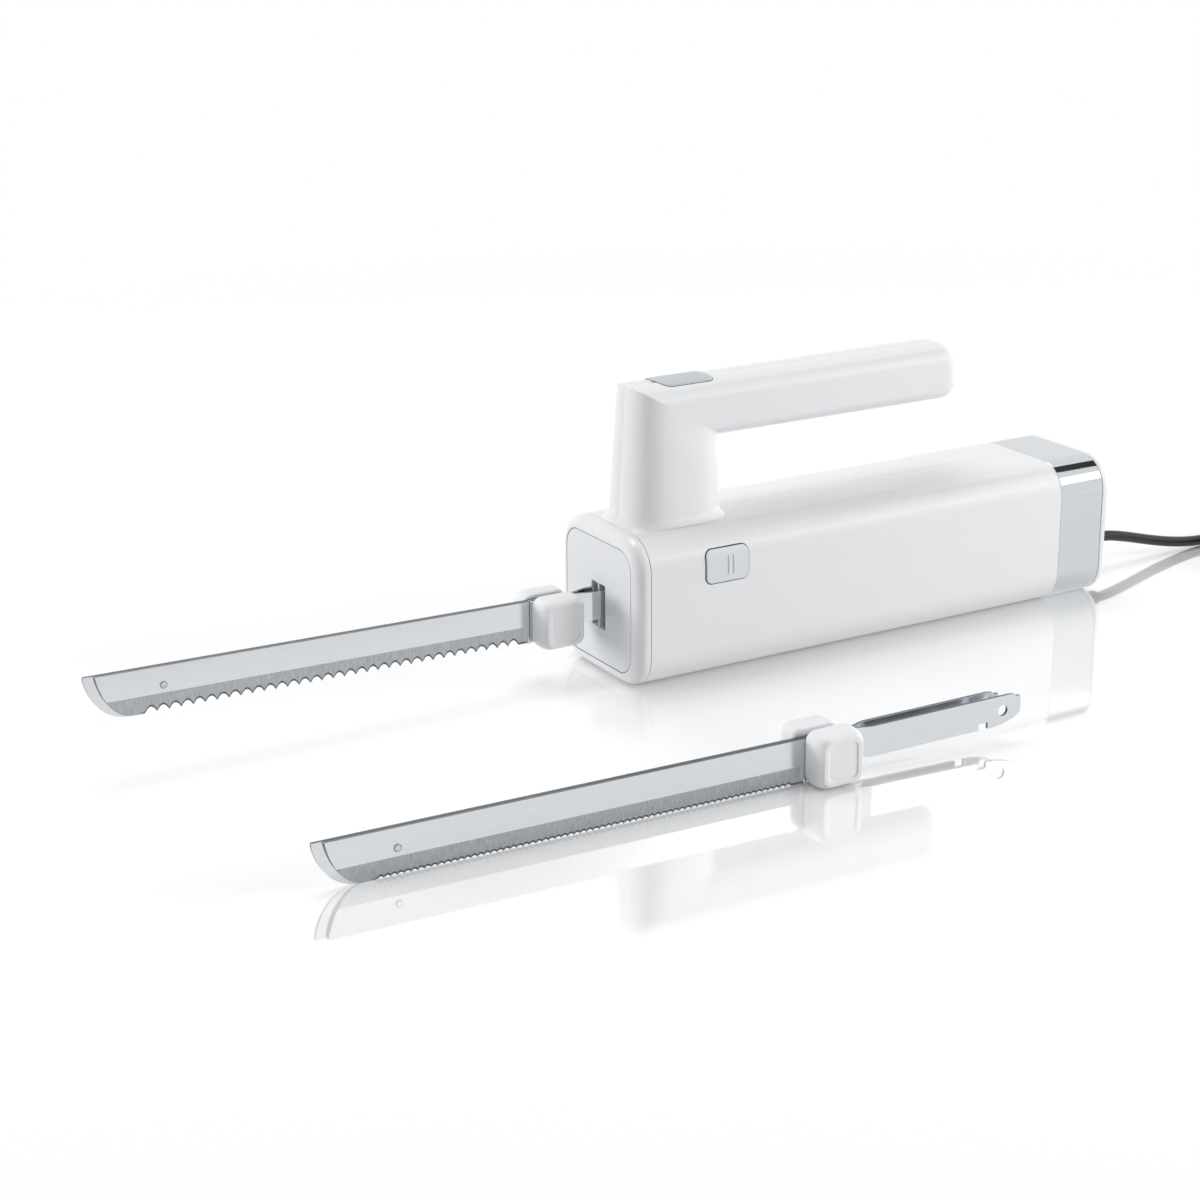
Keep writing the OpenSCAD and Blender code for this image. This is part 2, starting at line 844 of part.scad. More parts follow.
module chassis() {
    top = base_z + base_t;
    color("lightgray") difference() {
        union() {
            block([base_front, base_rear], [-base_half_w, base_half_w], [base_z, top]);
            for (side = [-1, 1]) {
                sided(side) block([rail_front, rail_rear], [-rail_out_y, -rail_in_y], [top, rail_low_top]);
                sided(side) block([rail_step_x, rail_rear], [-rail_out_y, -rail_in_y], [top, beam_top_z]);
            }
            block([beam_front, beam_rear], [-rail_out_y, rail_out_y], [beam_low_z, beam_top_z]);
            block([beam_front, beam_rear], [-beam_block_half, beam_block_half],
                [beam_block_low, beam_top_z]);
            for (x = [motor_plate_x, rear_plate_x]) {
                block([x, x + motor_plate_t], [-base_half_w, base_half_w], [top, motor_plate_top]);
            }
            for (x = [stator_x + cradle_inset, stator_x + stator_len - cradle_inset - cradle_t]) {
                block([x, x + cradle_t], [-base_half_w, base_half_w], [top, motor_z - cradle_inset]);
            }
            for (x = [guide_front, guide_rear - guide_foot]) {
                block([x, x + guide_foot], [-rail_in_y, rail_in_y], [top, guide_floor_z]);
            }
        }
        rod_x([beam_front - cut, beam_rear + cut], front_bush_r, 0, motor_z);
        rod_x([motor_plate_x - cut, motor_plate_x + motor_plate_t + cut], motor_hole_r, 0, motor_z);
        rod_x([rear_plate_x - cut, rear_plate_x + motor_plate_t + cut], rear_bush_r, 0, motor_z);
        rod_x([stator_x, stator_x + stator_len], stator_r, 0, motor_z);
        rod_y([-rail_out_y - cut, rail_out_y + cut], axle_r, wheel_x, wheel_z);
        rod_y([-rail_out_y - cut, rail_out_y + cut], boss_r + 4*fit_gap, boss_front_x, boss_low_z);
    }
}

module carrier_guide() {
    inner = rail_in_y - guide_liner_t;
    color("ivory") difference() {
        block([guide_front, guide_rear], [-rail_in_y, rail_in_y], [guide_floor_z, guide_top_z]);
        block([guide_front - cut, guide_rear + cut], [-inner, inner],
            [guide_floor_z + guide_floor_t, guide_top_z - guide_bar_t]);
        block([guide_front + guide_bar, guide_rear - guide_bar], [-inner, inner],
            [guide_floor_z + guide_floor_t, guide_top_z + cut]);
    }
}

module gear_axle() {
    color("silver") rod_y([-rail_out_y, rail_out_y], axle_r, wheel_x, wheel_z);
}

module bush(x, r) {
    color("goldenrod") difference() {
        rod_x(x, r, 0, motor_z);
        rod_x([x[0] - cut, x[1] + cut], shaft_r + bush_gap, 0, motor_z);
    }
}

module front_bearing() {
    bush([beam_front, beam_rear], front_bush_r);
}

module rear_bearing() {
    bush([rear_plate_x, rear_plate_x + bearing_t], rear_bush_r);
}

// Cross-section of the two field coils, widened by a gap
module field_coil_outline(gap) {
    translate([0, motor_z]) intersection() {
        difference() {
            circle(coil_out + gap);
            circle(coil_in - gap);
        }
        square([4*stator_r, 2*(coil_half_h + gap)], center = true);
    }
}

module stator() {
    color("dimgray") difference() {
        rod_x([stator_x, stator_x + stator_len], stator_r, 0, motor_z);
        rod_x([stator_x - cut, stator_x + stator_len + cut], pole_r, 0, motor_z);
        along_x(stator_x - cut, stator_x + stator_len + cut) field_coil_outline(fit_gap);
    }
}

module field_coils() {
    color("peru") along_x(stator_x - coil_over, stator_x + stator_len + coil_over) field_coil_outline(0);
}

// Place of a brush's middle along the commutator
brush_x = commutator_x + commutator_len/2;
brush_in = commutator_r + brush_gap;

module brush_holders() {
    color("tan") for (side = [-1, 1]) {
        sided(side) difference() {
            block([brush_x - brush_w/2 - holder_wall, rear_plate_x], [-holder_end, -brush_in - holder_wall],
                [motor_z - brush_h/2 - holder_wall, motor_z + brush_h/2 + holder_wall]);
            block([brush_x - brush_w/2 - fit_gap, brush_x + brush_w/2 + fit_gap],
                [-holder_end + holder_cap_t, 0],
                [motor_z - brush_h/2 - fit_gap, motor_z + brush_h/2 + fit_gap]);
        }
    }
}

module brushes() {
    color("black") for (side = [-1, 1]) {
        sided(side) block([brush_x - brush_w/2, brush_x + brush_w/2],
            [-brush_in - brush_len, -brush_in], [motor_z - brush_h/2, motor_z + brush_h/2]);
    }
}

module brush_springs() {
    color("silver") for (side = [-1, 1]) {
        sided(side) translate([brush_x, -holder_end + holder_cap_t, motor_z]) rotate([-90, 0, 0])
            spring(brush_w/2 - 2*spring_wire_r, spring_wire_r,
                holder_end - holder_cap_t - brush_in - brush_len);
    }
}

module capacitor() {
    color("gold") block([capacitor_x, capacitor_x + capacitor_len], [0, capacitor_w],
        [base_z + base_t, base_z + base_t + capacitor_h]);
}

module terminal_block() {
    top = base_z + base_t;
    color("ivory") difference() {
        block([block_x, block_x + block_len], [-block_w/2, block_w/2], [top, top + block_h]);
        for (side = [-1, 0, 1]) {
            rod_z([top + block_h/2, top + block_h + cut], screw_r, block_x + block_len/2, side*block_w/3);
        }
    }
}

// Two insulated leads from the switch down the pillar and back to the terminals
module inner_leads() {
    side_z = cord_z + block_h;
    side_y = base_half_w + 3*lead_r;
    top_z = body_h - wall - lead_r - fit_gap;
    color("brown") for (side = [-1, 1]) {
        sided(side) skin(tube_rings([[switch_x + lead_r, -lead_hole_r/2, switch_low_z - 2*fit_gap],
            [switch_x, -lead_hole_r/2, switch_low_z - 2*shelf_t],
            [lead_hole_x + lead_r, -lead_hole_r/2, body_h + foot_boss_h],
            [lead_hole_x + 2*lead_r, -lead_hole_r/2, top_z + fit_gap/2],
            [pillar_rear, -lead_hole_r/2, top_z],
            [beam_front, -rail_out_y - 2*lead_r, top_z],
            [motor_plate_x, -side_y, mix(motor_z, top_z, 0.5)],
            [rear_plate_x + 2*motor_plate_t, -side_y, motor_z],
            [block_x - block_len/2, -block_w/2 - lead_r, side_z],
            [block_x + block_len/3, -block_w/3, base_z + base_t + block_h + lead_r]],
            lead_r, lead_sides));
    }
}

module cord_clamp() {
    color("gray") difference() {
        block([clamp_x, clamp_x + clamp_len], [-clamp_w/2, clamp_w/2], [wall, clamp_top]);
        rod_x([clamp_x - cut, clamp_x + clamp_len + cut], cord_r, 0, cord_z);
    }
}

module strain_relief() {
    tip = body_len + relief_len;
    step = relief_len/(relief_rings + 1);
    color("black") difference() {
        union() {
            rod_x([band_end - relief_flange_t, band_end], relief_flange_r, 0, cord_z);
            rod_x([band_end, body_len], relief_root_r, 0, cord_z);
            translate([body_len, 0, cord_z]) rotate([0, 90, 0])
                cylinder(h = relief_len, r1 = relief_root_r, r2 = relief_tip_r);
        }
        rod_x([band_end - relief_flange_t - cut, tip + cut], cord_r, 0, cord_z);
        for (i = [1:relief_rings]) {
            translate([body_len + i*step, 0, cord_z]) rotate([0, 90, 0]) difference() {
                cylinder(h = relief_ring_w, r = relief_root_r + cut);
                translate([0, 0, -cut]) cylinder(h = relief_ring_w + 2*cut,
                    r = mix(relief_root_r, relief_tip_r, i/(relief_rings + 1)) - relief_ring_cut);
            }
        }
    }
}

module inlet_cord() {
    color("black") rod_x([block_x + block_len, body_len + relief_len], cord_r, 0, cord_z);
}

module switch_body() {
    color("black") {
        block([switch_x - switch_len/2, switch_x + switch_len/2], [-switch_w/2, switch_w/2],
            [switch_low_z, switch_top_z]);
    }
}

module switch_spring() {
    color("silver") translate([switch_x, 0, switch_top_z])
        spring(switch_spring_r, switch_wire_r, power_floor_z - switch_top_z);
}

module power_button() {
    color("silver") {
        intersection() {
            translate([0, 0, power_proud]) mitre_side(true) skin([grip_ring(0, 0), grip_ring(grip_end, 0)]);
            translate([0, 0, power_floor_z]) linear_extrude(grip_h) power_outline(0);
        }
        rod_z([switch_top_z + power_travel + slide_gap, power_floor_z], plunger_r, switch_x, 0);
        block([power_x - power_lip, power_x + power_len + power_lip], [-power_w/4, power_w/4],
            [power_floor_z, power_floor_z + power_lip]);
        for (x = [power_x - power_lip, power_x + power_len]) {
            block([x, x + power_lip], [-power_w/4, power_w/4],
                [power_floor_z, grip_z + grip_h/2 - handle_wall - 2*button_gap]);
        }
    }
}

// Part of a shell that follows the near side of the body, between two insets
module side_shell(inset, depth) {
    intersection() {
        along_y(-body_w, -body_w/4) children();
        along_x(0, band_x) difference() {
            body_slice(inset);
            body_slice(inset + depth);
        }
    }
}

// Release button on the near side; the far one mirrors it
module release_button(side) {
    face = -body_w/2 - release_proud;
    back = -cavity_half_w + release_lip_t;
    color("lightgray") sided(side) {
        side_shell(-release_proud, release_t) translate([release_x, release_z])
            round_rect(release_len, release_h, release_r);
        for (shift = [-1, 1]) {
            rod_z([release_z - release_ridge_h/2, release_z + release_ridge_h/2], release_ridge_r,
                release_x + release_ridge_x + shift*release_ridge_half, face);
        }
        side_shell(wall, release_lip_t) translate([release_x, release_z - (release_foot - release_lip)/2])
            square([release_len + 2*release_lip, release_h + release_foot + release_lip], center = true);
        block([release_x - release_arm_w/2, release_x + release_arm_w/2], [back, -release_arm_end],
            [release_arm_z - release_arm_h/2, release_arm_z + release_arm_h/2]);
        rod_y([back, back + release_post_len], release_post_r, release_x, release_spring_z);
    }
}

module near_release_button() {
    release_button(-1);
}

module far_release_button() {
    release_button(1);
}

module release_spring(side) {
    back = -cavity_half_w + release_lip_t;
    color("silver") sided(side) translate([release_x, back, release_spring_z]) rotate([-90, 0, 0])
        spring(release_spring_r, spring_wire_r, -rail_out_y - back);
}

module near_release_spring() {
    release_spring(-1);
}

module far_release_spring() {
    release_spring(1);
}

module armature_shaft() {
    color("silver") rod_x([shaft_front, shaft_rear], shaft_r, 0, motor_z);
}

// A ring-shaped piece on the shaft
module on_shaft(x, r) {
    difference() {
        rod_x(x, r, 0, motor_z);
        rod_x([x[0] - cut, x[1] + cut], shaft_r, 0, motor_z);
    }
}

module armature_core() {
    x = [stator_x + slide_gap, stator_x + stator_len - slide_gap];
    color("dimgray") difference() {
        on_shaft(x, core_r);
        for (i = [0:core_slots - 1]) {
            a = 360*i/core_slots;
            rod_x([x[0] - cut, x[1] + cut], core_slot_r, core_slot_at*cos(a), motor_z + core_slot_at*sin(a));
        }
    }
}

module armature_windings() {
    front = stator_x + slide_gap;
    rear = stator_x + stator_len - slide_gap;
    color("peru") {
        on_shaft([front - winding_len, front], winding_r);
        on_shaft([rear, rear + winding_len], winding_r);
    }
}

module commutator() {
    x = [commutator_x, commutator_x + commutator_len];
    color("peru") difference() {
        on_shaft(x, commutator_r);
        for (i = [0:commutator_bars - 1]) {
            translate([0, 0, motor_z]) rotate([360*i/commutator_bars, 0, 0])
                block([x[0] - cut, x[1] + cut], [commutator_r - 2*commutator_slit, commutator_r + cut],
                    [-commutator_slit/2, commutator_slit/2]);
        }
    }
}

module motor_fan() {
    color("darkslategray") {
        on_shaft([fan_x, fan_x + fan_disc_t], fan_r);
        on_shaft([fan_x + fan_disc_t, fan_x + fan_disc_t + fan_blade_h], fan_hub_r);
        for (i = [0:fan_blades - 1]) {
            translate([0, 0, motor_z]) rotate([360*i/fan_blades, 0, 0])
                block([fan_x + fan_disc_t, fan_x + fan_disc_t + fan_blade_h],
                    [fan_hub_r - fan_blade_t, fan_r - fan_blade_t], [-fan_blade_t/2, fan_blade_t/2]);
        }
    }
}

// Cross-section of the worm, advance along its middle
function worm_ring(advance) = let (turn = 360*advance/worm_lead)
    [for (start = [0:worm_starts - 1], s = thread_shares)
    let (a = turn + 360*(start + s[0])/worm_starts, r = mix(worm_core_r, worm_tip_r, s[1]))
    [wheel_x + advance, r*cos(a), motor_z + r*sin(a)]];

// Worm with two starts; its threads pass either side of the wheel's top tooth
module drive_worm() {
    color("silver") difference() {
        skin([for (i = [0:worm_slices]) worm_ring(worm_len*(i/worm_slices - 0.5))]);
        rod_x([wheel_x - worm_len, wheel_x + worm_len], shaft_r, 0, motor_z);
    }
}

// Drive wheel with an eccentric on each face, half a turn apart
module drive_wheel() {
    color("ivory") translate([wheel_x, 0, wheel_z]) difference() {
        union() {
            along_y(-wheel_half_t, wheel_half_t) {
                circle(wheel_root_r);
                for (i = [0:wheel_teeth - 1]) {
                    rotate(90 + 360*i/wheel_teeth) polygon([[wheel_root_r - cut, -tooth_t/2],
                        [wheel_tip_r, -tooth_tip_t/2], [wheel_tip_r, tooth_tip_t/2],
                        [wheel_root_r - cut, tooth_t/2]]);
                }
            }
            rod_y([-eccentric_in, eccentric_in], wheel_collar_r, 0, 0);
            rod_y([-eccentric_end, -eccentric_in], eccentric_r, 0, crank_r);
            rod_y([eccentric_in, eccentric_end], eccentric_r, 0, -crank_r);
            rod_y([-hub_end, hub_end], hub_r, 0, 0);
        }
        rod_y([-reach, reach], axle_r + bush_gap, 0, 0);
    }
}

// Carrier of the near blade; the far one mirrors it
module carrier(side) {
    tang_out = tang_y + blade_t/2;
    tip = tang_in + slide_gap;
    low = tang_z - tang_h/2 - tang_side_gap;
    top = tang_z + tang_h/2 + tang_side_gap;
    end = tang_in + carrier_stop;
    color("lightslategray") sided(side) difference() {
        union() {
            block([carrier_front, end], [-carrier_out_y, -tang_out - tang_side_gap],
                [carrier_low_z, carrier_top_z]);
            block([carrier_front, end], [-tang_out - tang_side_gap, -carrier_lip_y], [carrier_low_z, low]);
            block([carrier_front, carrier_lip_rear], [-tang_out - tang_side_gap, -carrier_lip_y],
                [top, carrier_top_z]);
            block([tip, end], [-tang_out - tang_side_gap, -carrier_lip_y], [low, top]);
            block([end, wheel_x - yoke_half_len], [-carrier_out_y, -yoke_in_y], [neck_low_z, neck_top_z]);
            block([wheel_x - yoke_half_len, wheel_x + yoke_half_len], [-carrier_out_y, -yoke_in_y],
                [yoke_low_z, yoke_top_z]);
        }
        block([wheel_x - yoke_window_half, wheel_x + yoke_window_half],
            [-carrier_out_y - cut, -yoke_in_y + cut],
            [wheel_z - yoke_window_h, wheel_z + yoke_window_h]);
    }
}

module near_carrier() {
    carrier(-1);
}

module far_carrier() {
    carrier(1);
}

// Leaf catch between the tangs, with a dimple in the tang's hole and a tab for the button
module catch(side) {
    y = [-carrier_lip_y, -carrier_lip_y + catch_t];
    hole_x = tang_in - catch_hole_back;
    color("silver") sided(side) {
        block([catch_front, catch_front + catch_root], y, [catch_low_z, catch_top_z]);
        block([catch_front, hole_x + catch_hole_r], y, [tang_z - catch_half_h, tang_z + catch_half_h]);
        block([release_x - catch_tab_w/2, release_x + catch_tab_w/2], y, [tang_z, catch_tab_top]);
        rod_y([-tang_y - blade_t/4, -carrier_lip_y], catch_dimple_r, hole_x, tang_z);
    }
}

module near_catch() {
    catch(-1);
}

module far_catch() {
    catch(1);
}

// Rise of a blade in front of the guard
function rise(x) = x < -guard_front ? (-guard_front - x)*tan(blade_rise) : 0;

// Row of teeth from the tip back to the guard, as points [x, z]
function teeth(start, depth, fine) =
    let (count = floor((-guard_front - heel_run - start)/tooth_pitch))
    [for (i = [0:count - 1]) each concat(
        [[start + i*tooth_pitch, spine_z - blade_h]],
        [for (s = scallop_shares) [start + (i + s)*tooth_pitch,
            spine_z - blade_h + depth*(fine ? abs(sin(360*s)) : pow(sin(180*s), 0.8))]],
        i == count - 1 ? [[start + count*tooth_pitch, spine_z - blade_h]] : [])];

// Side outline of a blade and its tang
function blade_outline(tip, tip_shares, depth, fine) =
    let (front = concat([for (s = tip_shares) [-tip + s[0]*blade_h, spine_z - s[1]*blade_h]],
            teeth(-tip + smooth_tip, depth, fine), [[-guard_front, spine_z - blade_h]]),
        low = tang_z - tang_h/2, top = tang_z + tang_h/2)
    concat([for (p = front) [p[0], p[1] + rise(p[0])]],
        [[-guard_front + heel_run, spine_z - blade_h], [-guard_rear - heel_run, low],
        [tang_in - notch_back, low], [tang_in - notch_back, low + notch_depth],
        [tang_in - notch_back + notch_w, low + notch_depth], [tang_in - notch_back + notch_w, low],
        [tang_in - catch_hole_back, low], [tang_in - notch_w, low + notch_depth/2],
        [tang_in, low + 1.4*notch_depth], [tang_in, top - notch_depth/2],
        [tang_in - notch_depth, top - notch_depth/2], [tang_in - notch_depth - fit_gap, top],
        [-guard_rear - heel_run, top], [-guard_front + heel_run, spine_z],
        [-guard_front, spine_z], [-tip + fit_gap, spine_z + rise(-tip)]]);

// Plan of the bent sheet: the blade lies at the middle, the tang steps outwards
module sheet_plan(tip) {
    xs = [-tip - cut, bend_start, mix(bend_start, bend_end, 0.3), mix(bend_start, bend_end, 0.7),
        bend_end, tang_in + cut];
    step_shares = [0, 0, 0.15, 0.85, 1, 1];
    ys = [for (s = step_shares) -mix(blade_y, tang_y, s)];
    polygon(concat([for (i = [0:len(xs) - 1]) [xs[i], ys[i] - blade_t/2]],
        [for (i = [len(xs) - 1:-1:0]) [xs[i], ys[i] + blade_t/2]]));
}

// Near-side blade; the far one mirrors it
module blade(side, tip, tip_shares, depth, fine) {
    rivet_x = rivet_place(fine);
    sided(side) difference() {
        intersection() {
            along_y(-body_w/2, 0) polygon(blade_outline(tip, tip_shares, depth, fine));
            linear_extrude(body_h) sheet_plan(tip);
        }
        translate([-guard_front, 0, spine_z - blade_h]) rotate([0, blade_rise, 0])
            along_x(-tip, heel_run/2) polygon([[-blade_y - blade_t/2, bevel_h],
                [-blade_y - blade_t/2 - cut, bevel_h], [-blade_y - blade_t/2 - cut, -cut],
                [-blade_y + blade_t/2 - edge_t, -cut], [-blade_y + blade_t/2 - edge_t, 0]]);
        rod_y([-body_w/2, 0], catch_hole_r, tang_in - catch_hole_back, tang_z);
        if (side < 0) {
            rod_y([-body_w/2, 0], rivet_r, rivet_x, rivet_z(rivet_x));
        } else {
            keyhole(rivet_x);
        }
    }
}

function rivet_place(fine) = -far_tip + rivet_back + tip_step - (fine ? spare_extra : 0);
function rivet_z(x) = spine_z - rivet_low_share*blade_h + rise(x);

// Slot for the rivet's shank, with a round end for its head, beyond both strokes
module keyhole(x) {
    run = 2*crank_r + keyhole_extra;
    translate([x, 0, rivet_z(x)]) {
        block([-run, run], [-body_w/2, 0], [-rivet_r - rivet_play, rivet_r + rivet_play]);
        rod_y([-body_w/2, 0], rivet_head_d/2 + button_gap, run + rivet_r, 0);
        rod_y([-body_w/2, 0], rivet_r + rivet_play, -run, 0);
    }
}

module rivet(fine) {
    x = rivet_place(fine);
    z = rivet_z(x);
    near_face = blade_y + blade_t/2;
    color("silver") {
        rod_y([-near_face, near_face + slide_gap], rivet_r, x, z);
        rod_y([-near_face - rivet_head_t, -near_face], rivet_head_d/2, x, z);
        rod_y([near_face + slide_gap, near_face + slide_gap + rivet_head_t], rivet_head_d/2, x, z);
    }
}

module near_blade() {
    color("lightgray") blade(-1, near_tip, near_tip_shares, tooth_depth, false);
}

module far_blade() {
    color("silver") blade(1, far_tip, far_tip_shares, tooth_depth, false);
}

module blade_rivet() {
    rivet(false);
}

// Guard moulded on the outside of its blade
module guard(side) {
    w = guard_front - guard_rear;
    inner = blade_y + blade_t/2;
    z = guard_low_z + guard_h/2;
    // Depth from the blade and inset of each ring
    steps_shares = [[0, 0.3], [0.12, 0.08], [0.3, 0], [0.76, 0], [0.9, 0.14], [0.97, 0.38], [1, 0.7]];
    color("whitesmoke") sided(side) difference() {
        skin([for (s = steps_shares) [for (p = round_ring(w - 2*s[1]*guard_r, guard_h - 2*s[1]*guard_r,
            guard_r*(1 - 0.6*s[1]))) [-guard_rear - w/2 + p[0], -inner - s[0]*guard_t, z + p[1]]]]);
        along_y(-inner - guard_t - cut, -inner - guard_t + guard_panel_depth)
            translate([-guard_rear - w/2, z]) round_rect(guard_panel_w, guard_panel_h, guard_panel_r);
    }
}

module near_guard() {
    guard(-1);
}

module far_guard() {
    guard(1);
}

// The spare pair stands on the guards' front corners and the blades' tips
module spare_place() {
    heel = far_tip + spare_extra - blade_h;
    tip_low = rise(-heel) + spine_z - blade_h - guard_low_z;
    lean = atan(tip_low/(heel - guard_front));
    translate([spare_x, spare_y, 0]) rotate([0, 0, -spare_turn]) rotate([0, -lean, 0])
        translate([guard_front - guard_r, 0, -guard_low_z]) children();
}

module spare_near_blade() {
    spare_place() color("lightgray") blade(-1, near_tip + spare_extra, near_tip_shares, fine_depth, true);
}

module spare_far_blade() {
    spare_place() color("silver") blade(1, far_tip + spare_extra, far_tip_shares, fine_depth, true);
}

module spare_rivet() {
    spare_place() rivet(true);
}

module spare_near_guard() {
    spare_place() guard(-1);
}

module spare_far_guard() {
    spare_place() guard(1);
}

module cord_run() {
    color("black") skin(tube_rings(CORD_ROUTE, cord_r, cord_sides));
}

// Middle of the coiled cord after u turns: it spirals in on the lower layer,
// climbs where the spiral reverses and spirals out on the upper one
function coil_radius(u) = coil_in_r + coil_pitch*abs(u - coil_turns/2);
function climb(u) = let (s = max(0, min(1, 2*(u - coil_turns/2) + 0.5))) s*s*(3 - 2*s);
function coil_point(u) = let (a = 90 - 360*u)
    [coil_x + coil_radius(u)*cos(a), coil_y + coil_radius(u)*sin(a), coil_low_z + coil_layer*climb(u)];
function coil_route() = let (steps = coil_turns*coil_rings, last = coil_point(coil_turns))
    concat([coil_point(0) - [cord_d, 0, 0]], [for (i = [0:steps]) coil_point(i/coil_rings)],
    [last + [cord_d, 0, 0], last + [coil_stub, 0, 0]]);

// Least distance between turns that lie at least half a turn apart, less the cord
function coil_gap() = let (route = coil_route(), n = len(route))
    min([for (i = [0:n - 1], j = [i + coil_rings/2:n - 1]) norm(route[i] - route[j])]) - cord_d;
function coil_length() = let (route = coil_route())
    [for (i = [1:len(route) - 1]) norm(route[i] - route[i - 1])]*[for (i = [1:len(route) - 1]) 1];

module cord_coil() {
    echo(coil_gap = coil_gap(), coil_length = coil_length());
    color("black") skin(tube_rings(coil_route(), cord_r, coil_sides));
}

// Flat tie round the coil, opposite the cord's ends
module cord_tie() {
    outer = coil_y - coil_radius(0.5) - cord_r - tie_gap;
    inner = coil_y - coil_in_r + cord_r + tie_gap;
    top = coil_low_z + coil_layer + cord_r + tie_under_gap;
    color("dimgray") difference() {
        block([coil_x - tie_w/2, coil_x + tie_w/2], [outer - tie_t, inner + tie_t], [0, top + tie_t]);
        block([coil_x - tie_w/2 - cut, coil_x + tie_w/2 + cut], [outer, inner], [tie_t, top]);
    }
}

// The plug leans down from the upper layer until its nose rests on the table
module plug_place() {
    z = coil_low_z + coil_layer;
    lean = asin((z - plug_t/2)/(plug_relief_len + plug_body_len));
    translate([coil_x + coil_stub, coil_y + coil_radius(coil_turns), z]) rotate([0, lean, 0]) children();
}

module plug_body() {
    root = plug_relief_len;
    color("black") plug_place() difference() {
        union() {
            rotate([0, 90, 0]) cylinder(h = plug_relief_len, r1 = cord_r + fit_gap, r2 = plug_relief_r);
            intersection() {
                along_x(root, root + plug_body_len) round_rect(plug_w, plug_t, plug_t/3);
                translate([0, 0, -plug_t]) linear_extrude(2*plug_t) polygon([
                    [root, -plug_relief_r], [root + plug_body_len/3, -plug_w/2],
                    [root + 0.7*plug_body_len, -plug_w/2], [root + plug_body_len, -plug_nose_w/2],
                    [root + plug_body_len, plug_nose_w/2], [root + 0.7*plug_body_len, plug_w/2],
                    [root + plug_body_len/3, plug_w/2], [root, plug_relief_r]]);
            }
        }
    }
}

module plug_pins() {
    root = plug_relief_len + plug_body_len;
    color("silver") plug_place() for (side = [-1, 1]) {
        rod_x([root, root + plug_pin_len - plug_pin_r], plug_pin_r, side*plug_pin_step/2, 0);
        translate([root + plug_pin_len - plug_pin_r, side*plug_pin_step/2, 0]) sphere(plug_pin_r);
    }
}

seated() housing_left();
seated() housing_right();
seated() front_cap();
seated() front_panel();
seated() chrome_band();
seated() end_plate();
seated() handle_left();
seated() handle_right();
seated() housing_screws();
seated() handle_screws();
seated() chassis();
seated() carrier_guide();
seated() gear_axle();
seated() front_bearing();
seated() rear_bearing();
seated() stator();
seated() field_coils();
seated() brush_holders();
seated() brushes();
seated() brush_springs();
seated() capacitor();
seated() terminal_block();
seated() inner_leads();
seated() cord_clamp();
seated() strain_relief();
seated() inlet_cord();
seated() switch_body();
seated() switch_spring();
seated() power_button();
seated() near_release_button();
seated() far_release_button();
seated() near_release_spring();
seated() far_release_spring();
seated() armature_shaft();
seated() armature_core();
seated() armature_windings();
seated() commutator();
seated() motor_fan();
seated() drive_worm();
seated() drive_wheel();
seated() near_carrier();
seated() far_carrier();
seated() near_catch();
seated() far_catch();
seated() near_blade();
seated() near_guard();
seated() blade_rivet();
seated() far_blade();
seated() far_guard();
seated() spare_near_blade();
seated() spare_near_guard();
seated() spare_rivet();
seated() spare_far_blade();
seated() spare_far_guard();
cord_run();
cord_coil();
cord_tie();
plug_body();
plug_pins();
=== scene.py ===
"""Dressed scene of an electric carving knife with a spare pair of blades."""

import logging
import math
from dataclasses import dataclass, field
from enum import Enum
from typing import Callable, Iterable, Sequence

import bmesh
import bpy
import numpy as np
from mathutils import Matrix, Vector


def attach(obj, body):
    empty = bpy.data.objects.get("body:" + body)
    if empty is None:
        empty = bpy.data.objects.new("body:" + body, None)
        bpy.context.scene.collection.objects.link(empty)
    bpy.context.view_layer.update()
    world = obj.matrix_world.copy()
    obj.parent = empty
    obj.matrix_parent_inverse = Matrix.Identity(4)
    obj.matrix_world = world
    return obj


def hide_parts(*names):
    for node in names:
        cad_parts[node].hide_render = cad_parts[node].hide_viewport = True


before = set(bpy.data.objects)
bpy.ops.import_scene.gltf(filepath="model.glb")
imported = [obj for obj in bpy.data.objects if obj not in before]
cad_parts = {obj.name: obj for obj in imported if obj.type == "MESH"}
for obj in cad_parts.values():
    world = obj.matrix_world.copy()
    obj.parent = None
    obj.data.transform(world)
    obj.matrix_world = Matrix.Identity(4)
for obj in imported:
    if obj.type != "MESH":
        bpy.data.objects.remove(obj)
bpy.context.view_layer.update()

log = logging.getLogger("carving_knife")
Point = tuple[float, float, float]
Flat = tuple[float, float]
Piece, Paint, Socket = bpy.types.Object, bpy.types.Material, bpy.types.NodeSocket

MM = 0.001  # metres in a millimetre
FRONT_X = -132.0  # the body's front face, in millimetres
POINT_R = 0.001  # radius of a turned piece's closed end
CRISP = 32.0  # edges that turn more than this many degrees stay crisp
MERGE, FINE_MERGE = 1e-6, 1e-7  # corners closer than this, in metres, become one
RELIEF_DEPTH = 0.0002
SMOOTHEST = 0.02
# The rim zone, on the edge facets, the spine and the tang's edges, is dark: partly a rougher finish, partly
# painted shade.
FACE, BEVEL, SHADED_RIM = 0.0, 1.0, 2.0  # zones of the blades' finish


def mm(x: float, y: float, z: float) -> Vector:
    """Turns a place in millimetres into metres."""
    return Vector((x, y, z)) * MM


def lerp(a: float, b: float, share: float) -> float:
    """Mixes two numbers."""
    return a + (b - a) * share


def smooth(share: float) -> float:
    """Eases a share from 0 to 1 with level ends."""
    s = min(max(share, 0.0), 1.0)
    return s * s * (3.0 - 2.0 * s)


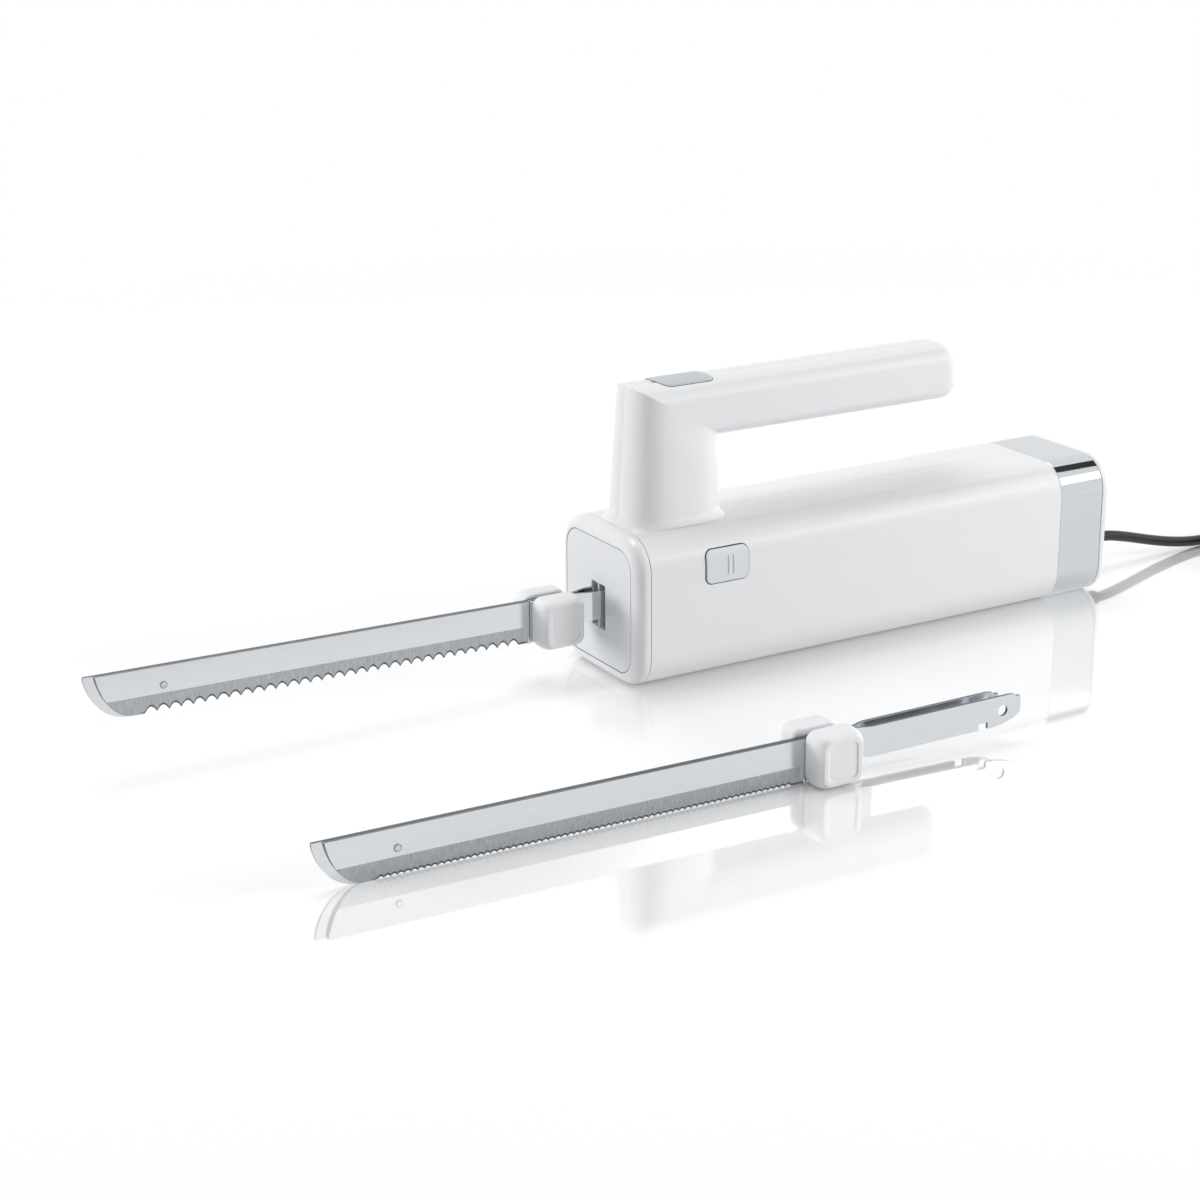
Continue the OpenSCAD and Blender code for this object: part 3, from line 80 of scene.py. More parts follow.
class Slot(Enum):
    """Material slots of the record."""

    WHITE_GLOSS = "white_gloss"
    PANEL_WHITE = "panel_white"
    GREY_SATIN = "grey_satin"
    GUARD_WHITE = "guard_white"
    BAND_CHROME = "band_chrome"
    BLADE_STEEL = "blade_steel"
    RIVET_STEEL = "rivet_steel"
    SHAFT_STEEL = "shaft_steel"
    SPRING_STEEL = "spring_steel"
    CORE_IRON = "core_iron"
    COPPER_WIRE = "copper_wire"
    BRONZE = "bronze"
    FRAME_PLASTIC = "frame_plastic"
    SLIDE_PLASTIC = "slide_plastic"
    ELECTRIC_PLASTIC = "electric_plastic"
    CARBON = "carbon"
    LEAD_BLACK = "lead_black"
    TIE_BLACK = "tie_black"
    PIN_METAL = "pin_metal"


# Materials


class Tree:
    """Short calls that add and join the nodes of one tree."""

    def __init__(self, tree: bpy.types.NodeTree) -> None:
        """Takes over a node tree."""
        self.tree = tree

    def add(self, kind: str, **values: object) -> bpy.types.Node:
        """Adds a node.

        Args:
            kind: type name of the node.
            values: node properties, or unlinked inputs given as in_<index>.

        Returns:
            The new node.
        """
        node = self.tree.nodes.new(kind)
        for name, value in values.items():
            if name.startswith("in_"):
                node.inputs[int(name[3:])].default_value = value
            else:
                setattr(node, name, value)
        return node

    def link(self, source: Socket, target: Socket) -> None:
        """Joins an output to an input."""
        self.tree.links.new(source, target)

    def math(self, operation: str, a: object, b: object = 0.0) -> Socket:
        """Adds a Math node.

        Args:
            operation: name of the sum.
            a: first number or socket.
            b: second number or socket.

        Returns:
            The result's socket.
        """
        node = self.add("ShaderNodeMath", operation=operation)
        for place, value in enumerate((a, b)):
            if isinstance(value, (int, float)):
                node.inputs[place].default_value = float(value)
            else:
                self.link(value, node.inputs[place])
        return node.outputs[0]

    def ramp(self, source: Socket, stops: Sequence[tuple[float, Sequence[float]]],
             stepped: bool = False) -> Socket:
        """Adds a colour ramp.

        Args:
            source: the number that is looked up.
            stops: places and their colours.
            stepped: keeps each colour up to the next place, with no fade.

        Returns:
            The colour's socket.
        """
        node = self.add("ShaderNodeValToRGB")
        ramp = node.color_ramp
        ramp.interpolation = "CONSTANT" if stepped else "LINEAR"
        while len(ramp.elements) < len(stops):
            ramp.elements.new(0.5)
        for element, (place, colour) in zip(ramp.elements, stops):
            element.position = place
            element.color = (*colour[:3], 1.0)
        self.link(source, node.inputs[0])
        return node.outputs[0]

    def levels(self, source: Socket, stops: Sequence[Flat], stepped: bool = False) -> Socket:
        """Adds a ramp of plain numbers."""
        return self.ramp(source, [(place, (value,) * 3) for place, value in stops], stepped)

    def fed(self, kind: str, *sources: Socket, **values: object) -> Socket:
        """Adds a node whose first inputs are joined.

        Args:
            kind: type name of the node.
            sources: what its first inputs are joined to, in order.
            values: as for add.

        Returns:
            The node's first output.
        """
        node = self.add(kind, **values)
        for source, target in zip(sources, node.inputs):
            self.link(source, target)
        return node.outputs[0]

    def relief(self, height: Socket, strength: float, shader: bpy.types.Node) -> None:
        """Gives a shader a fine relief that follows a height.

        Args:
            height: the height's socket.
            strength: how strongly it shows.
            shader: the shader that gets it.
        """
        bump = self.add("ShaderNodeBump")
        bump.inputs["Strength"].default_value = strength
        bump.inputs["Distance"].default_value = RELIEF_DEPTH
        self.link(height, bump.inputs["Height"])
        self.link(bump.outputs[0], shader.inputs["Normal"])

    def blend(self, share: Socket, a: Socket, b: object) -> Socket:
        """Adds a colour mix.

        Args:
            share: how much of b is taken, as a socket.
            a: first colour's socket.
            b: second colour, as a socket or three numbers.

        Returns:
            The mixed colour's socket.
        """
        node = self.add("ShaderNodeMix", data_type="RGBA")
        self.link(share, node.inputs[0])
        self.link(a, node.inputs[6])
        if isinstance(b, (tuple, list)):
            node.inputs[7].default_value = (*b[:3], 1.0)
        else:
            self.link(b, node.inputs[7])
        return node.outputs[2]

    def edges_worn_and_lit(self, colour: Socket, rubbed_and_lit: Sequence[float], wear_and_highlight: float,
             reach: float = 0.0005) -> Socket:
        """Lightens a colour along edges, for a little wear and partly a painted highlight, over a reach in
        metres.
        """
        edges = self.fed("ShaderNodeGroup", node_tree=shared_group("Edge wear"), in_0=reach, in_1=wear_and_highlight)
        return self.blend(edges, colour, tuple(rubbed_and_lit))

    def painted_gap_shade(self, colour: Socket, dark: Sequence[float]) -> Socket:
        """Paints shade on the walls of seams and gaps, which a piece marks with its zone attribute."""
        zone = self.add("ShaderNodeAttribute", attribute_name="zone").outputs["Fac"]
        return self.blend(self.math("MINIMUM", zone, 1.0), colour, tuple(dark))


def shade(colour: Sequence[float], share: float) -> tuple[float, float, float]:
    """Scales a colour's brightness."""
    return tuple(min(1.0, c * share) for c in colour[:3])


def grey(level: float) -> tuple[float, float, float, float]:
    """Gives an even grey as a colour with full cover."""
    return level, level, level, 1.0


def srgb(code: str) -> tuple[float, float, float]:
    """Turns a six digit screen colour into linear light."""
    parts = [int(code[i:i + 2], 16) / 255.0 for i in (0, 2, 4)]
    return tuple(p / 12.92 if p <= 0.04045 else ((p + 0.055) / 1.055) ** 2.4 for p in parts)


def moulded_skin(t: Tree, given: Sequence[Socket], kept: Sequence[Socket]) -> None:
    """Fine unevenness of a moulded surface: a tone, a polish and a height that vary.

    Args:
        t: the group's tree.
        given: the group's inputs.
        kept: the group's outputs.
    """
    place = t.add("ShaderNodeTexCoord").outputs["Object"]
    grain = t.add("ShaderNodeTexNoise", in_3=3.0, in_4=0.55)
    flow = t.add("ShaderNodeTexNoise", in_3=2.0, in_4=0.5)
    for noise, size in ((grain, given[0]), (flow, given[1])):
        t.link(place, noise.inputs["Vector"])
        t.link(size, noise.inputs["Scale"])
    speck = t.math("MULTIPLY", grain.outputs[0], given[2])
    t.link(t.math("ADD", flow.outputs[0], speck), kept[0])
    t.link(flow.outputs[0], kept[1])
    t.link(grain.outputs[0], kept[2])


def drawn_lines(t: Tree, given: Sequence[Socket], kept: Sequence[Socket]) -> None:
    """Fine parallel lines left by grinding or drawing, closest across one axis.

    Args:
        t: the group's tree.
        given: the group's inputs.
        kept: the group's outputs.
    """
    place = t.add("ShaderNodeTexCoord").outputs["Object"]
    across = t.fed("ShaderNodeVectorMath", place, given[0], operation="MULTIPLY")
    lines = t.fed("ShaderNodeTexNoise", across, in_2=1.0, in_3=4.0, in_4=0.62)
    t.link(lines, kept[0])
    t.link(lines, kept[1])


def edge_wear_and_highlight(t: Tree, given: Sequence[Socket], kept: Sequence[Socket]) -> None:
    """Lighter edges, for a little wear and partly a painted highlight: a mask that is high where a rounded
    edge turns, broken up by fine noise.

    Args:
        t: the group's tree.
        given: the group's inputs.
        kept: the group's outputs.
    """
    soft = t.add("ShaderNodeBevel", samples=3)
    t.link(given[0], soft.inputs["Radius"])
    dot = t.add("ShaderNodeVectorMath", operation="DOT_PRODUCT")
    t.link(soft.outputs[0], dot.inputs[0])
    t.link(t.add("ShaderNodeNewGeometry").outputs["Normal"], dot.inputs[1])
    turn = t.math("MULTIPLY", t.math("SUBTRACT", 1.0, dot.outputs["Value"]), 5.0)
    patch = t.add("ShaderNodeTexNoise", in_3=4.0, in_4=0.6)
    t.link(t.add("ShaderNodeTexCoord").outputs["Object"], patch.inputs["Vector"])
    t.link(given[2], patch.inputs["Scale"])
    edges_worn_and_lit = t.math("MULTIPLY", turn, t.math("MULTIPLY", patch.outputs[0], given[1]))
    t.link(t.fed("ShaderNodeClamp", edges_worn_and_lit), kept[0])


GROUPS: dict[str, tuple[dict[str, object], tuple[str, ...], Callable[..., None]]] = {
    "Moulded skin": ({"Grain size": 900.0, "Flow size": 18.0, "Speck share": 0.2},
                     ("Tone", "Polish", "Height"), moulded_skin),
    "Drawn lines": ({"Line density": (3000.0, 40.0, 40.0)}, ("Tone", "Height"), drawn_lines),
    # Lighter edges: a little wear, and partly a painted highlight along rounded edges.
    "Edge wear": ({"Reach": 0.0005, "Amount": 1.0, "Patch size": 160.0}, ("Mask",), edge_wear_and_highlight),
}


def shared_group(name: str) -> bpy.types.NodeTree:
    """Gives a shader group, and makes it the first time.

    Args:
        name: the group's name in GROUPS.

    Returns:
        The group.
    """
    if name in bpy.data.node_groups:
        return bpy.data.node_groups[name]
    tree = bpy.data.node_groups.new(name, "ShaderNodeTree")
    inputs, outputs, fill = GROUPS[name]
    for label, value in inputs.items():
        kind = "NodeSocketFloat" if isinstance(value, float) else "NodeSocketVector"
        tree.interface.new_socket(label, in_out="INPUT", socket_type=kind).default_value = value
    for label in outputs:
        tree.interface.new_socket(label, in_out="OUTPUT", socket_type="NodeSocketFloat")
    t = Tree(tree)
    entry, leave = t.add("NodeGroupInput"), t.add("NodeGroupOutput")
    fill(t, entry.outputs, leave.inputs)
    return tree


@dataclass(frozen=True)
class Plastic:
    """Moulded plastic, from mirror-like shells to dull housings."""

    name: str
    colour: tuple[float, float, float]
    rough: float = 0.3
    rough_change: float = 0.06
    tone_change: float = 0.02
    grain_size: float = 900.0
    grain_depth: float = 0.02
    coat: float = 0.0
    wear_and_highlight: float = 0.12
    coat_rough: float = 0.22
    rubbed_and_lit: float = 0.35
    # Brightness of the shade painted on the walls of seams and gaps, as a share of the colour.
    gap_shade_tone: float = 0.08

    def build(self) -> Paint:
        """Makes the material.

        Returns:
            A material whose tone, polish and height vary a little.
        """
        material, t, shader = new_material(self.name)
        skin = t.add("ShaderNodeGroup", node_tree=shared_group("Moulded skin"), in_0=self.grain_size)
        colour = t.ramp(skin.outputs[0], [(0.35, shade(self.colour, 1 - self.tone_change)),
                                          (0.75, shade(self.colour, 1 + self.tone_change))])
        # Edges are lightened: a little wear and partly a painted highlight.
        rubbed_and_lit = tuple(lerp(c, 1.0, self.rubbed_and_lit) for c in self.colour)
        # The walls of seams and gaps get painted shade.
        t.link(t.painted_gap_shade(t.edges_worn_and_lit(colour, rubbed_and_lit, self.wear_and_highlight), shade(self.colour, self.gap_shade_tone)),
               shader.inputs["Base Color"])
        t.link(t.levels(skin.outputs[1], [(0.3, max(SMOOTHEST, self.rough - self.rough_change)),
                                          (0.7, self.rough + self.rough_change)]), shader.inputs["Roughness"])
        t.relief(skin.outputs[2], self.grain_depth, shader)
        shader.inputs["Coat Weight"].default_value = self.coat
        shader.inputs["Coat Roughness"].default_value = self.coat_rough
        return material


@dataclass(frozen=True)
class Metal:
    """Ground, drawn or plated metal."""

    name: str
    colour: tuple[float, float, float]
    rough: float = 0.25
    rough_change: float = 0.06
    tone_change: float = 0.06
    lines: Point = (3000.0, 60.0, 60.0)
    line_depth: float = 0.05
    wear_and_highlight: float = 0.4
    rubbed_and_lit: float = 1.25
    # Brightness of the shade painted on the walls of seams and gaps, as a share of the colour.
    gap_shade_tone: float = 0.1

    def build(self) -> Paint:
        """Makes the material.

        Returns:
            A metal whose tone and height follow fine parallel lines.
        """
        material, t, shader = new_material(self.name)
        drawn = t.add("ShaderNodeGroup", node_tree=shared_group("Drawn lines"), in_0=self.lines)
        colour = t.ramp(drawn.outputs[0], [(0.3, shade(self.colour, 1 - self.tone_change)),
                                           (0.7, shade(self.colour, 1 + self.tone_change))])
        # Edges are lightened: a little wear and partly a painted highlight.
        # The walls of seams and gaps get painted shade.
        t.link(t.painted_gap_shade(t.edges_worn_and_lit(colour, shade(self.colour, self.rubbed_and_lit), self.wear_and_highlight),
                         shade(self.colour, self.gap_shade_tone)), shader.inputs["Base Color"])
        t.link(t.levels(drawn.outputs[0], [(0.3, self.rough + self.rough_change),
                                           (0.7, max(SMOOTHEST, self.rough - self.rough_change))]),
               shader.inputs["Roughness"])
        t.relief(drawn.outputs[1], self.line_depth, shader)
        shader.inputs["Metallic"].default_value = 1.0
        return material


@dataclass(frozen=True)
class GroundSteel:
    """Blade steel: a bright face, a bevel ground across it and dark fine facets, partly a rougher finish and
    partly painted shade.
    """

    name: str
    face: tuple[float, float, float]
    bevel: tuple[float, float, float]
    # Colour of the fine facets, spine and tang edges: partly a rougher finish, partly painted shade.
    facet: tuple[float, float, float]
    rough: tuple[float, float, float] = (0.16, 0.34, 0.3)
    face_lines: Point = (45.0, 45.0, 2600.0)
    bevel_lines: Point = (2100.0, 2100.0, 25.0)
    line_depth: float = 0.035
    face_change: float = 0.03
    bevel_change: float = 0.2
    rubbed_and_lit: float = 1.1
    wear_and_highlight: float = 0.5
    edge_reach: float = 0.0002

    def build(self) -> Paint:
        """Makes the material.

        Returns:
            A steel whose zones are read from the piece's own attribute.
        """
        material, t, shader = new_material(self.name)
        zone = t.math("MULTIPLY", t.add("ShaderNodeAttribute", attribute_name="zone").outputs["Fac"], 0.5)
        tones, heights = [], []
        for lines, colour, change in ((self.face_lines, self.face, self.face_change),
                                      (self.bevel_lines, self.bevel, self.bevel_change)):
            drawn = t.add("ShaderNodeGroup", node_tree=shared_group("Drawn lines"), in_0=lines)
            tones.append(t.ramp(drawn.outputs[0], [(0.3, shade(colour, 1 - change)),
                                                   (0.7, shade(colour, 1 + change))]))
            heights.append(drawn.outputs[1])
        is_bevel = t.levels(zone, [(0.0, 0.0), (0.25, 1.0)], True)
        # The rim zone's dark colour is partly painted shade.
        is_shaded_facet = t.levels(zone, [(0.0, 0.0), (0.75, 1.0)], True)
        colour = t.blend(is_shaded_facet, t.blend(is_bevel, *tones), self.facet)
        # Edges are lightened: a little wear and partly a painted highlight.
        t.link(t.edges_worn_and_lit(colour, shade(self.face, self.rubbed_and_lit), self.wear_and_highlight, self.edge_reach),
               shader.inputs["Base Color"])
        t.link(t.levels(zone, list(zip((0.0, 0.25, 0.75), self.rough)), True), shader.inputs["Roughness"])
        t.relief(t.blend(is_bevel, *heights), self.line_depth, shader)
        shader.inputs["Metallic"].default_value = 1.0
        return material


def new_material(name: str) -> tuple[Paint, Tree, bpy.types.Node]:
    """Starts a node material.

    Args:
        name: the material's name.

    Returns:
        The material, its tree and its main shader.
    """
    material = bpy.data.materials.new(name)
    material.use_nodes = True
    tree = Tree(material.node_tree)
    return material, tree, material.node_tree.nodes["Principled BSDF"]


FINISHES: dict[Slot, Plastic | Metal | GroundSteel] = {
    Slot.WHITE_GLOSS: Plastic("White gloss shell", srgb("E9EAEC"), 0.33, 0.03, 0.006, 900.0, 0.006, 1.0,
                              0.05),
    Slot.PANEL_WHITE: Plastic("White panel", srgb("E6E8EA"), 0.42, 0.03, 0.008, 1100.0, 0.02, 0.0, 0.05),
    Slot.GREY_SATIN: Plastic("Grey satin button", srgb("BFC5CA"), 0.34, 0.04, 0.015, 1500.0, 0.04),
    Slot.GUARD_WHITE: Plastic("Soft white guard", srgb("F1F2F4"), 0.4, 0.05, 0.01, 1400.0, 0.04, 0.2, 0.08),
    Slot.BAND_CHROME: Metal("Mirror band", srgb("D0D4D7"), 0.06, 0.02, 0.01, (30.0, 900.0, 30.0), 0.0006,
                            0.1),
    # The last colour, of the edge facets, spine and tang edges, is partly painted shade.
    Slot.BLADE_STEEL: GroundSteel("Blade steel", srgb("DADDE0"), srgb("ABB0B4"), srgb("63686D")),
    Slot.RIVET_STEEL: Metal("Rivet steel", srgb("CFD1D3"), 0.2, 0.04, 0.03, (900.0, 900.0, 900.0), 0.02),
    Slot.SHAFT_STEEL: Metal("Shaft steel", srgb("C4C7CA"), 0.25, 0.05, 0.04, (2500.0, 40.0, 40.0), 0.03),
    Slot.SPRING_STEEL: Metal("Spring steel", srgb("AEB1B4"), 0.28, 0.05, 0.05, (900.0, 900.0, 900.0), 0.03),
    Slot.CORE_IRON: Metal("Laminated iron", srgb("8D8F92"), 0.45, 0.08, 0.12, (2000.0, 20.0, 20.0), 0.2),
    Slot.COPPER_WIRE: Metal("Enamelled copper", srgb("B46A3A"), 0.3, 0.06, 0.12, (60.0, 1800.0, 1800.0), 0.2),
    Slot.BRONZE: Metal("Sintered bronze", srgb("B08D57"), 0.42, 0.07, 0.08, (1200.0, 1200.0, 1200.0), 0.12),
    Slot.FRAME_PLASTIC: Plastic("Frame plastic", srgb("8A8F94"), 0.5, 0.05, 0.03, 1300.0, 0.1),
    Slot.SLIDE_PLASTIC: Plastic("Slide plastic", srgb("E6DFCB"), 0.42, 0.05, 0.03, 1300.0, 0.06),
    Slot.ELECTRIC_PLASTIC: Plastic("Electrical plastic", srgb("35373A"), 0.45, 0.06, 0.05, 1300.0, 0.1),
    Slot.CARBON: Plastic("Carbon", srgb("222326"), 0.6, 0.08, 0.1, 1800.0, 0.2),
    Slot.LEAD_BLACK: Plastic("Black lead", srgb("1B1C1E"), 0.36, 0.06, 0.06, 1500.0, 0.08),
    Slot.TIE_BLACK: Plastic("Black tie", srgb("26272A"), 0.5, 0.06, 0.06, 1500.0, 0.1),
    Slot.PIN_METAL: Metal("Plug pin metal", srgb("CFC9B8"), 0.22, 0.05, 0.03, (60.0, 2200.0, 2200.0), 0.03),
}


class Paints:
    """Builds each finish once and hands it out."""

    def __init__(self) -> None:
        """Starts with no material made."""
        self.made: dict[Slot, Paint] = {}

    def of(self, slot: Slot) -> Paint:
        """Gives the material of a slot.

        Args:
            slot: the slot.

        Returns:
            Its material, made the first time.
        """
        if slot not in self.made:
            self.made[slot] = FINISHES[slot].build()
        return self.made[slot]


# Studio


@dataclass(frozen=True)
class Lamp:
    """A soft box: where it hangs, what it faces, its width and depth, and its power in watts."""

    name: str
    place: Point
    aim: Point
    size: Flat
    power: float
    mirrored: bool = True


@dataclass(frozen=True)
class Flag:
    """A dark card that only reflections see: its middle, what it faces, and its width and depth."""

    name: str
    place: Point
    aim: Point
    size: Flat
    tone: float = 0.05
    rough: float = 0.9


def stage_sheet(name: str, corners: Sequence[Sequence[float]]) -> tuple[Piece, Tree, bpy.types.Node]:
    """Makes a four-cornered sheet of the studio, with a material of its own.

    Args:
        name: the sheet's name.
        corners: its four corners, in metres.

    Returns:
        The sheet, its material's tree and its main shader.
    """
    mesh = bpy.data.meshes.new(name)
    mesh.from_pydata(corners, [], [(0, 1, 2, 3)])
    sheet = bpy.data.objects.new(name, mesh)
    bpy.context.scene.collection.objects.link(sheet)
    material, t, shader = new_material(name)
    mesh.materials.append(material)
    return sheet, t, shader


@dataclass
class Studio:
    """Pale glossy floor, white surroundings, soft boxes and a dark card for the gloss."""

    floor_size: float = 14.0
    floor_plain: tuple[float, float, float] = (0.74, 0.745, 0.75)
    floor_body: float = 0.52
    floor_gloss: float = 0.5
    floor_glow: float = 0.045
    floor_rough: float = 0.4
    gloss_rough: float = 0.06
    mirrored_share: float = 0.9
    bare_corner: Flat = (-0.15, -0.142)
    bare_front: Flat = (-0.3, -0.235)
    fade_half: float = 0.03
    open_from: float = 0.5
    open_to: float = 1.0
    light: float = 0.35
    lamps: tuple[Lamp, ...] = (
        Lamp("Overhead box", (-0.1, 0.5, 1.7), (0.0, 0.0, 0.0), (1.3, 0.9), 12.4),
        Lamp("Left fill", (-1.9, 0.8, 0.42), (-0.05, 0.0, 0.05), (0.9, 0.7), 18.5, False),
        Lamp("Right fill", (1.72, -1.05, 0.45), (0.0, 0.0, 0.05), (0.9, 0.7), 30.5, False),
        Lamp("Right strip", (1.16, -1.29, 1.0), (0.05, 0.0, 0.06), (1.4, 0.62), 3.0),
    )
    flags: tuple[Flag, ...] = (
        Flag("high_flag", (1.45, -0.07, 1.85), (0.05, 0.0, 0.06), (0.8, 0.75)),
    )

    def build(self) -> None:
        """Makes the floor, the surroundings, the lamps and the card."""
        bpy.context.scene.view_settings.view_transform = "Standard"
        self.floor()
        self.world()
        for lamp in self.lamps:
            self.hang(lamp)
        for flag in self.flags:
            self.hold(flag)

    def seen_rays(self, t: Tree) -> Socket:
        """Adds a mask of the rays that see the background.

        Args:
            t: the tree it goes in.

        Returns:
            A socket that is 1 for camera, glossy and transmission rays.
        """
        path = t.add("ShaderNodeLightPath")
        seen = t.math("MAXIMUM", path.outputs["Is Camera Ray"], path.outputs["Is Glossy Ray"])
        return t.math("MAXIMUM", seen, path.outputs["Is Transmission Ray"])

    def sheen(self, t: Tree, place: Socket) -> Socket:
        """Adds the floor's sheen: reflections by the body and the spare blades, plain light elsewhere.

        Args:
            t: the tree it goes in.
            place: the floor's own coordinates.

        Returns:
            The sheen's shader socket.
        """
        axes = t.add("ShaderNodeSeparateXYZ")
        t.link(place, axes.inputs[0])
        x, y = axes.outputs[0], axes.outputs[1]
        (corner_x, corner_y), half = self.bare_corner, self.fade_half
        spans = ((x, corner_x - half, corner_x + half), (y, corner_y + half, corner_y - half),
                 (y, *self.bare_front))
        right, front, near = (self.eased(t, axis, start, end) for axis, start, end in spans)
        camera = t.add("ShaderNodeLightPath").outputs["Is Camera Ray"]
        mask = t.math("MULTIPLY", camera, t.math("MULTIPLY", t.math("MAXIMUM", right, front), near))
        gloss, plain = t.add("ShaderNodeBsdfAnisotropic"), t.add("ShaderNodeEmission")
        gloss.inputs["Color"].default_value = grey(self.floor_gloss)
        gloss.inputs["Roughness"].default_value = self.gloss_rough
        dim = self.floor_gloss * self.mirrored_share
        t.link(t.math("ADD", dim, t.math("MULTIPLY", camera, self.floor_gloss - dim)), plain.inputs[1])
        return t.fed("ShaderNodeMixShader", mask, plain.outputs[0], gloss.outputs[0])

    def eased(self, t: Tree, source: Socket, start: float, end: float) -> Socket:
        """Adds a share that eases from 0 at start to 1 at end."""
        return t.fed("ShaderNodeMapRange", source, interpolation_type="SMOOTHSTEP", in_1=start, in_2=end)

    def floor(self) -> None:
        """Lays a glossy pale floor that is white in the open and keeps shadows and reflections."""
        s = self.floor_size
        floor, t, shader = stage_sheet("studio_floor", [(-s, -s, 0), (s, -s, 0), (s, s, 0), (-s, s, 0)])
        shader.inputs["Base Color"].default_value = (*self.floor_plain, 1.0)
        shader.inputs["Roughness"].default_value = self.floor_rough
        place = t.add("ShaderNodeTexCoord").outputs["Object"]
        away = t.add("ShaderNodeVectorMath", operation="LENGTH")
        t.link(place, away.inputs[0])
        body = t.fed("ShaderNodeBsdfDiffuse", in_0=grey(self.floor_body))
        glow = t.fed("ShaderNodeEmission", in_1=self.floor_glow)
        lit = t.fed("ShaderNodeAddShader", t.fed("ShaderNodeAddShader", body, self.sheen(t, place)), glow)
        opened = self.eased(t, away.outputs["Value"], self.open_from, self.open_to)
        seen = t.fed("ShaderNodeMixShader", opened, lit, t.fed("ShaderNodeEmission"))
        mix = t.fed("ShaderNodeMixShader", self.seen_rays(t), shader.outputs[0], seen)
        t.link(mix, t.tree.nodes["Material Output"].inputs[0])

    def world(self) -> None:
        """Surrounds the object with even white light."""
        world = bpy.data.worlds.new("Studio world")
        bpy.context.scene.world = world
        world.use_nodes = True
        t = Tree(world.node_tree)
        light = world.node_tree.nodes["Background"]
        light.inputs[0].default_value = grey(1.0)
        light.inputs[1].default_value = self.light
        seen = t.fed("ShaderNodeBackground", in_0=grey(1.0), in_1=1.0)
        mix = t.fed("ShaderNodeMixShader", self.seen_rays(t), light.outputs[0], seen)
        t.link(mix, world.node_tree.nodes["World Output"].inputs[0])

    def hang(self, lamp: Lamp) -> None:
        """Hangs one soft box.

        Args:
            lamp: its place, size and power.
        """
        data = bpy.data.lights.new(lamp.name, "AREA")
        data.shape = "RECTANGLE"
        data.size, data.size_y = lamp.size
        data.energy = lamp.power
        box = bpy.data.objects.new(lamp.name, data)
        box.visible_glossy = lamp.mirrored
        box.location = lamp.place
        box.rotation_euler = (Vector(lamp.aim) - Vector(lamp.place)).to_track_quat("-Z", "Y").to_euler()
        bpy.context.scene.collection.objects.link(box)

    def hold(self, flag: Flag) -> None:
        """Holds up one dark card that only glossy rays meet.

        Args:
            flag: its place, size and tone.
        """
        w, d = flag.size[0] / 2, flag.size[1] / 2
        turn = (Vector(flag.aim) - Vector(flag.place)).to_track_quat("Z", "Y").to_matrix()
        corners = [turn @ Vector(p) + Vector(flag.place)
                   for p in ((-w, -d, 0), (w, -d, 0), (w, d, 0), (-w, d, 0))]
        card, _, shader = stage_sheet(flag.name, corners)
        shader.inputs["Base Color"].default_value = grey(flag.tone)
        shader.inputs["Roughness"].default_value = flag.rough
        card.visible_camera = card.visible_diffuse = card.visible_shadow = False
        card.visible_transmission = card.visible_volume_scatter = False


@dataclass(frozen=True)
class Camera:
    """The photograph's viewpoint."""

    place: Point = (-0.65766, -0.89904, 0.38674)
    yaw: float = 0.529850
    pitch: float = 0.326621
    roll: float = -0.006362
    lens: float = 74.73
    sensor: float = 36.0
    clip: Flat = (0.01, 60.0)

    def build(self) -> None:
        """Makes the camera and gives it to the scene."""
        ahead = Vector((math.sin(self.yaw) * math.cos(self.pitch),
                        math.cos(self.yaw) * math.cos(self.pitch), -math.sin(self.pitch)))
        right = Vector((math.cos(self.yaw), -math.sin(self.yaw), 0.0))
        up = right.cross(ahead)
        c, s = math.cos(self.roll), math.sin(self.roll)
        x, y = c * right + s * up, -s * right + c * up
        turn = Matrix((x, y, -ahead)).transposed()
        data = bpy.data.cameras.new("Photograph camera")
        data.lens, data.sensor_width = self.lens, self.sensor
        data.clip_start, data.clip_end = self.clip
        camera = bpy.data.objects.new("photograph_camera", data)
        camera.matrix_world = Matrix.Translation(Vector(self.place)) @ turn.to_4x4()
        bpy.context.scene.collection.objects.link(camera)
        bpy.context.scene.camera = camera


# Mains lead


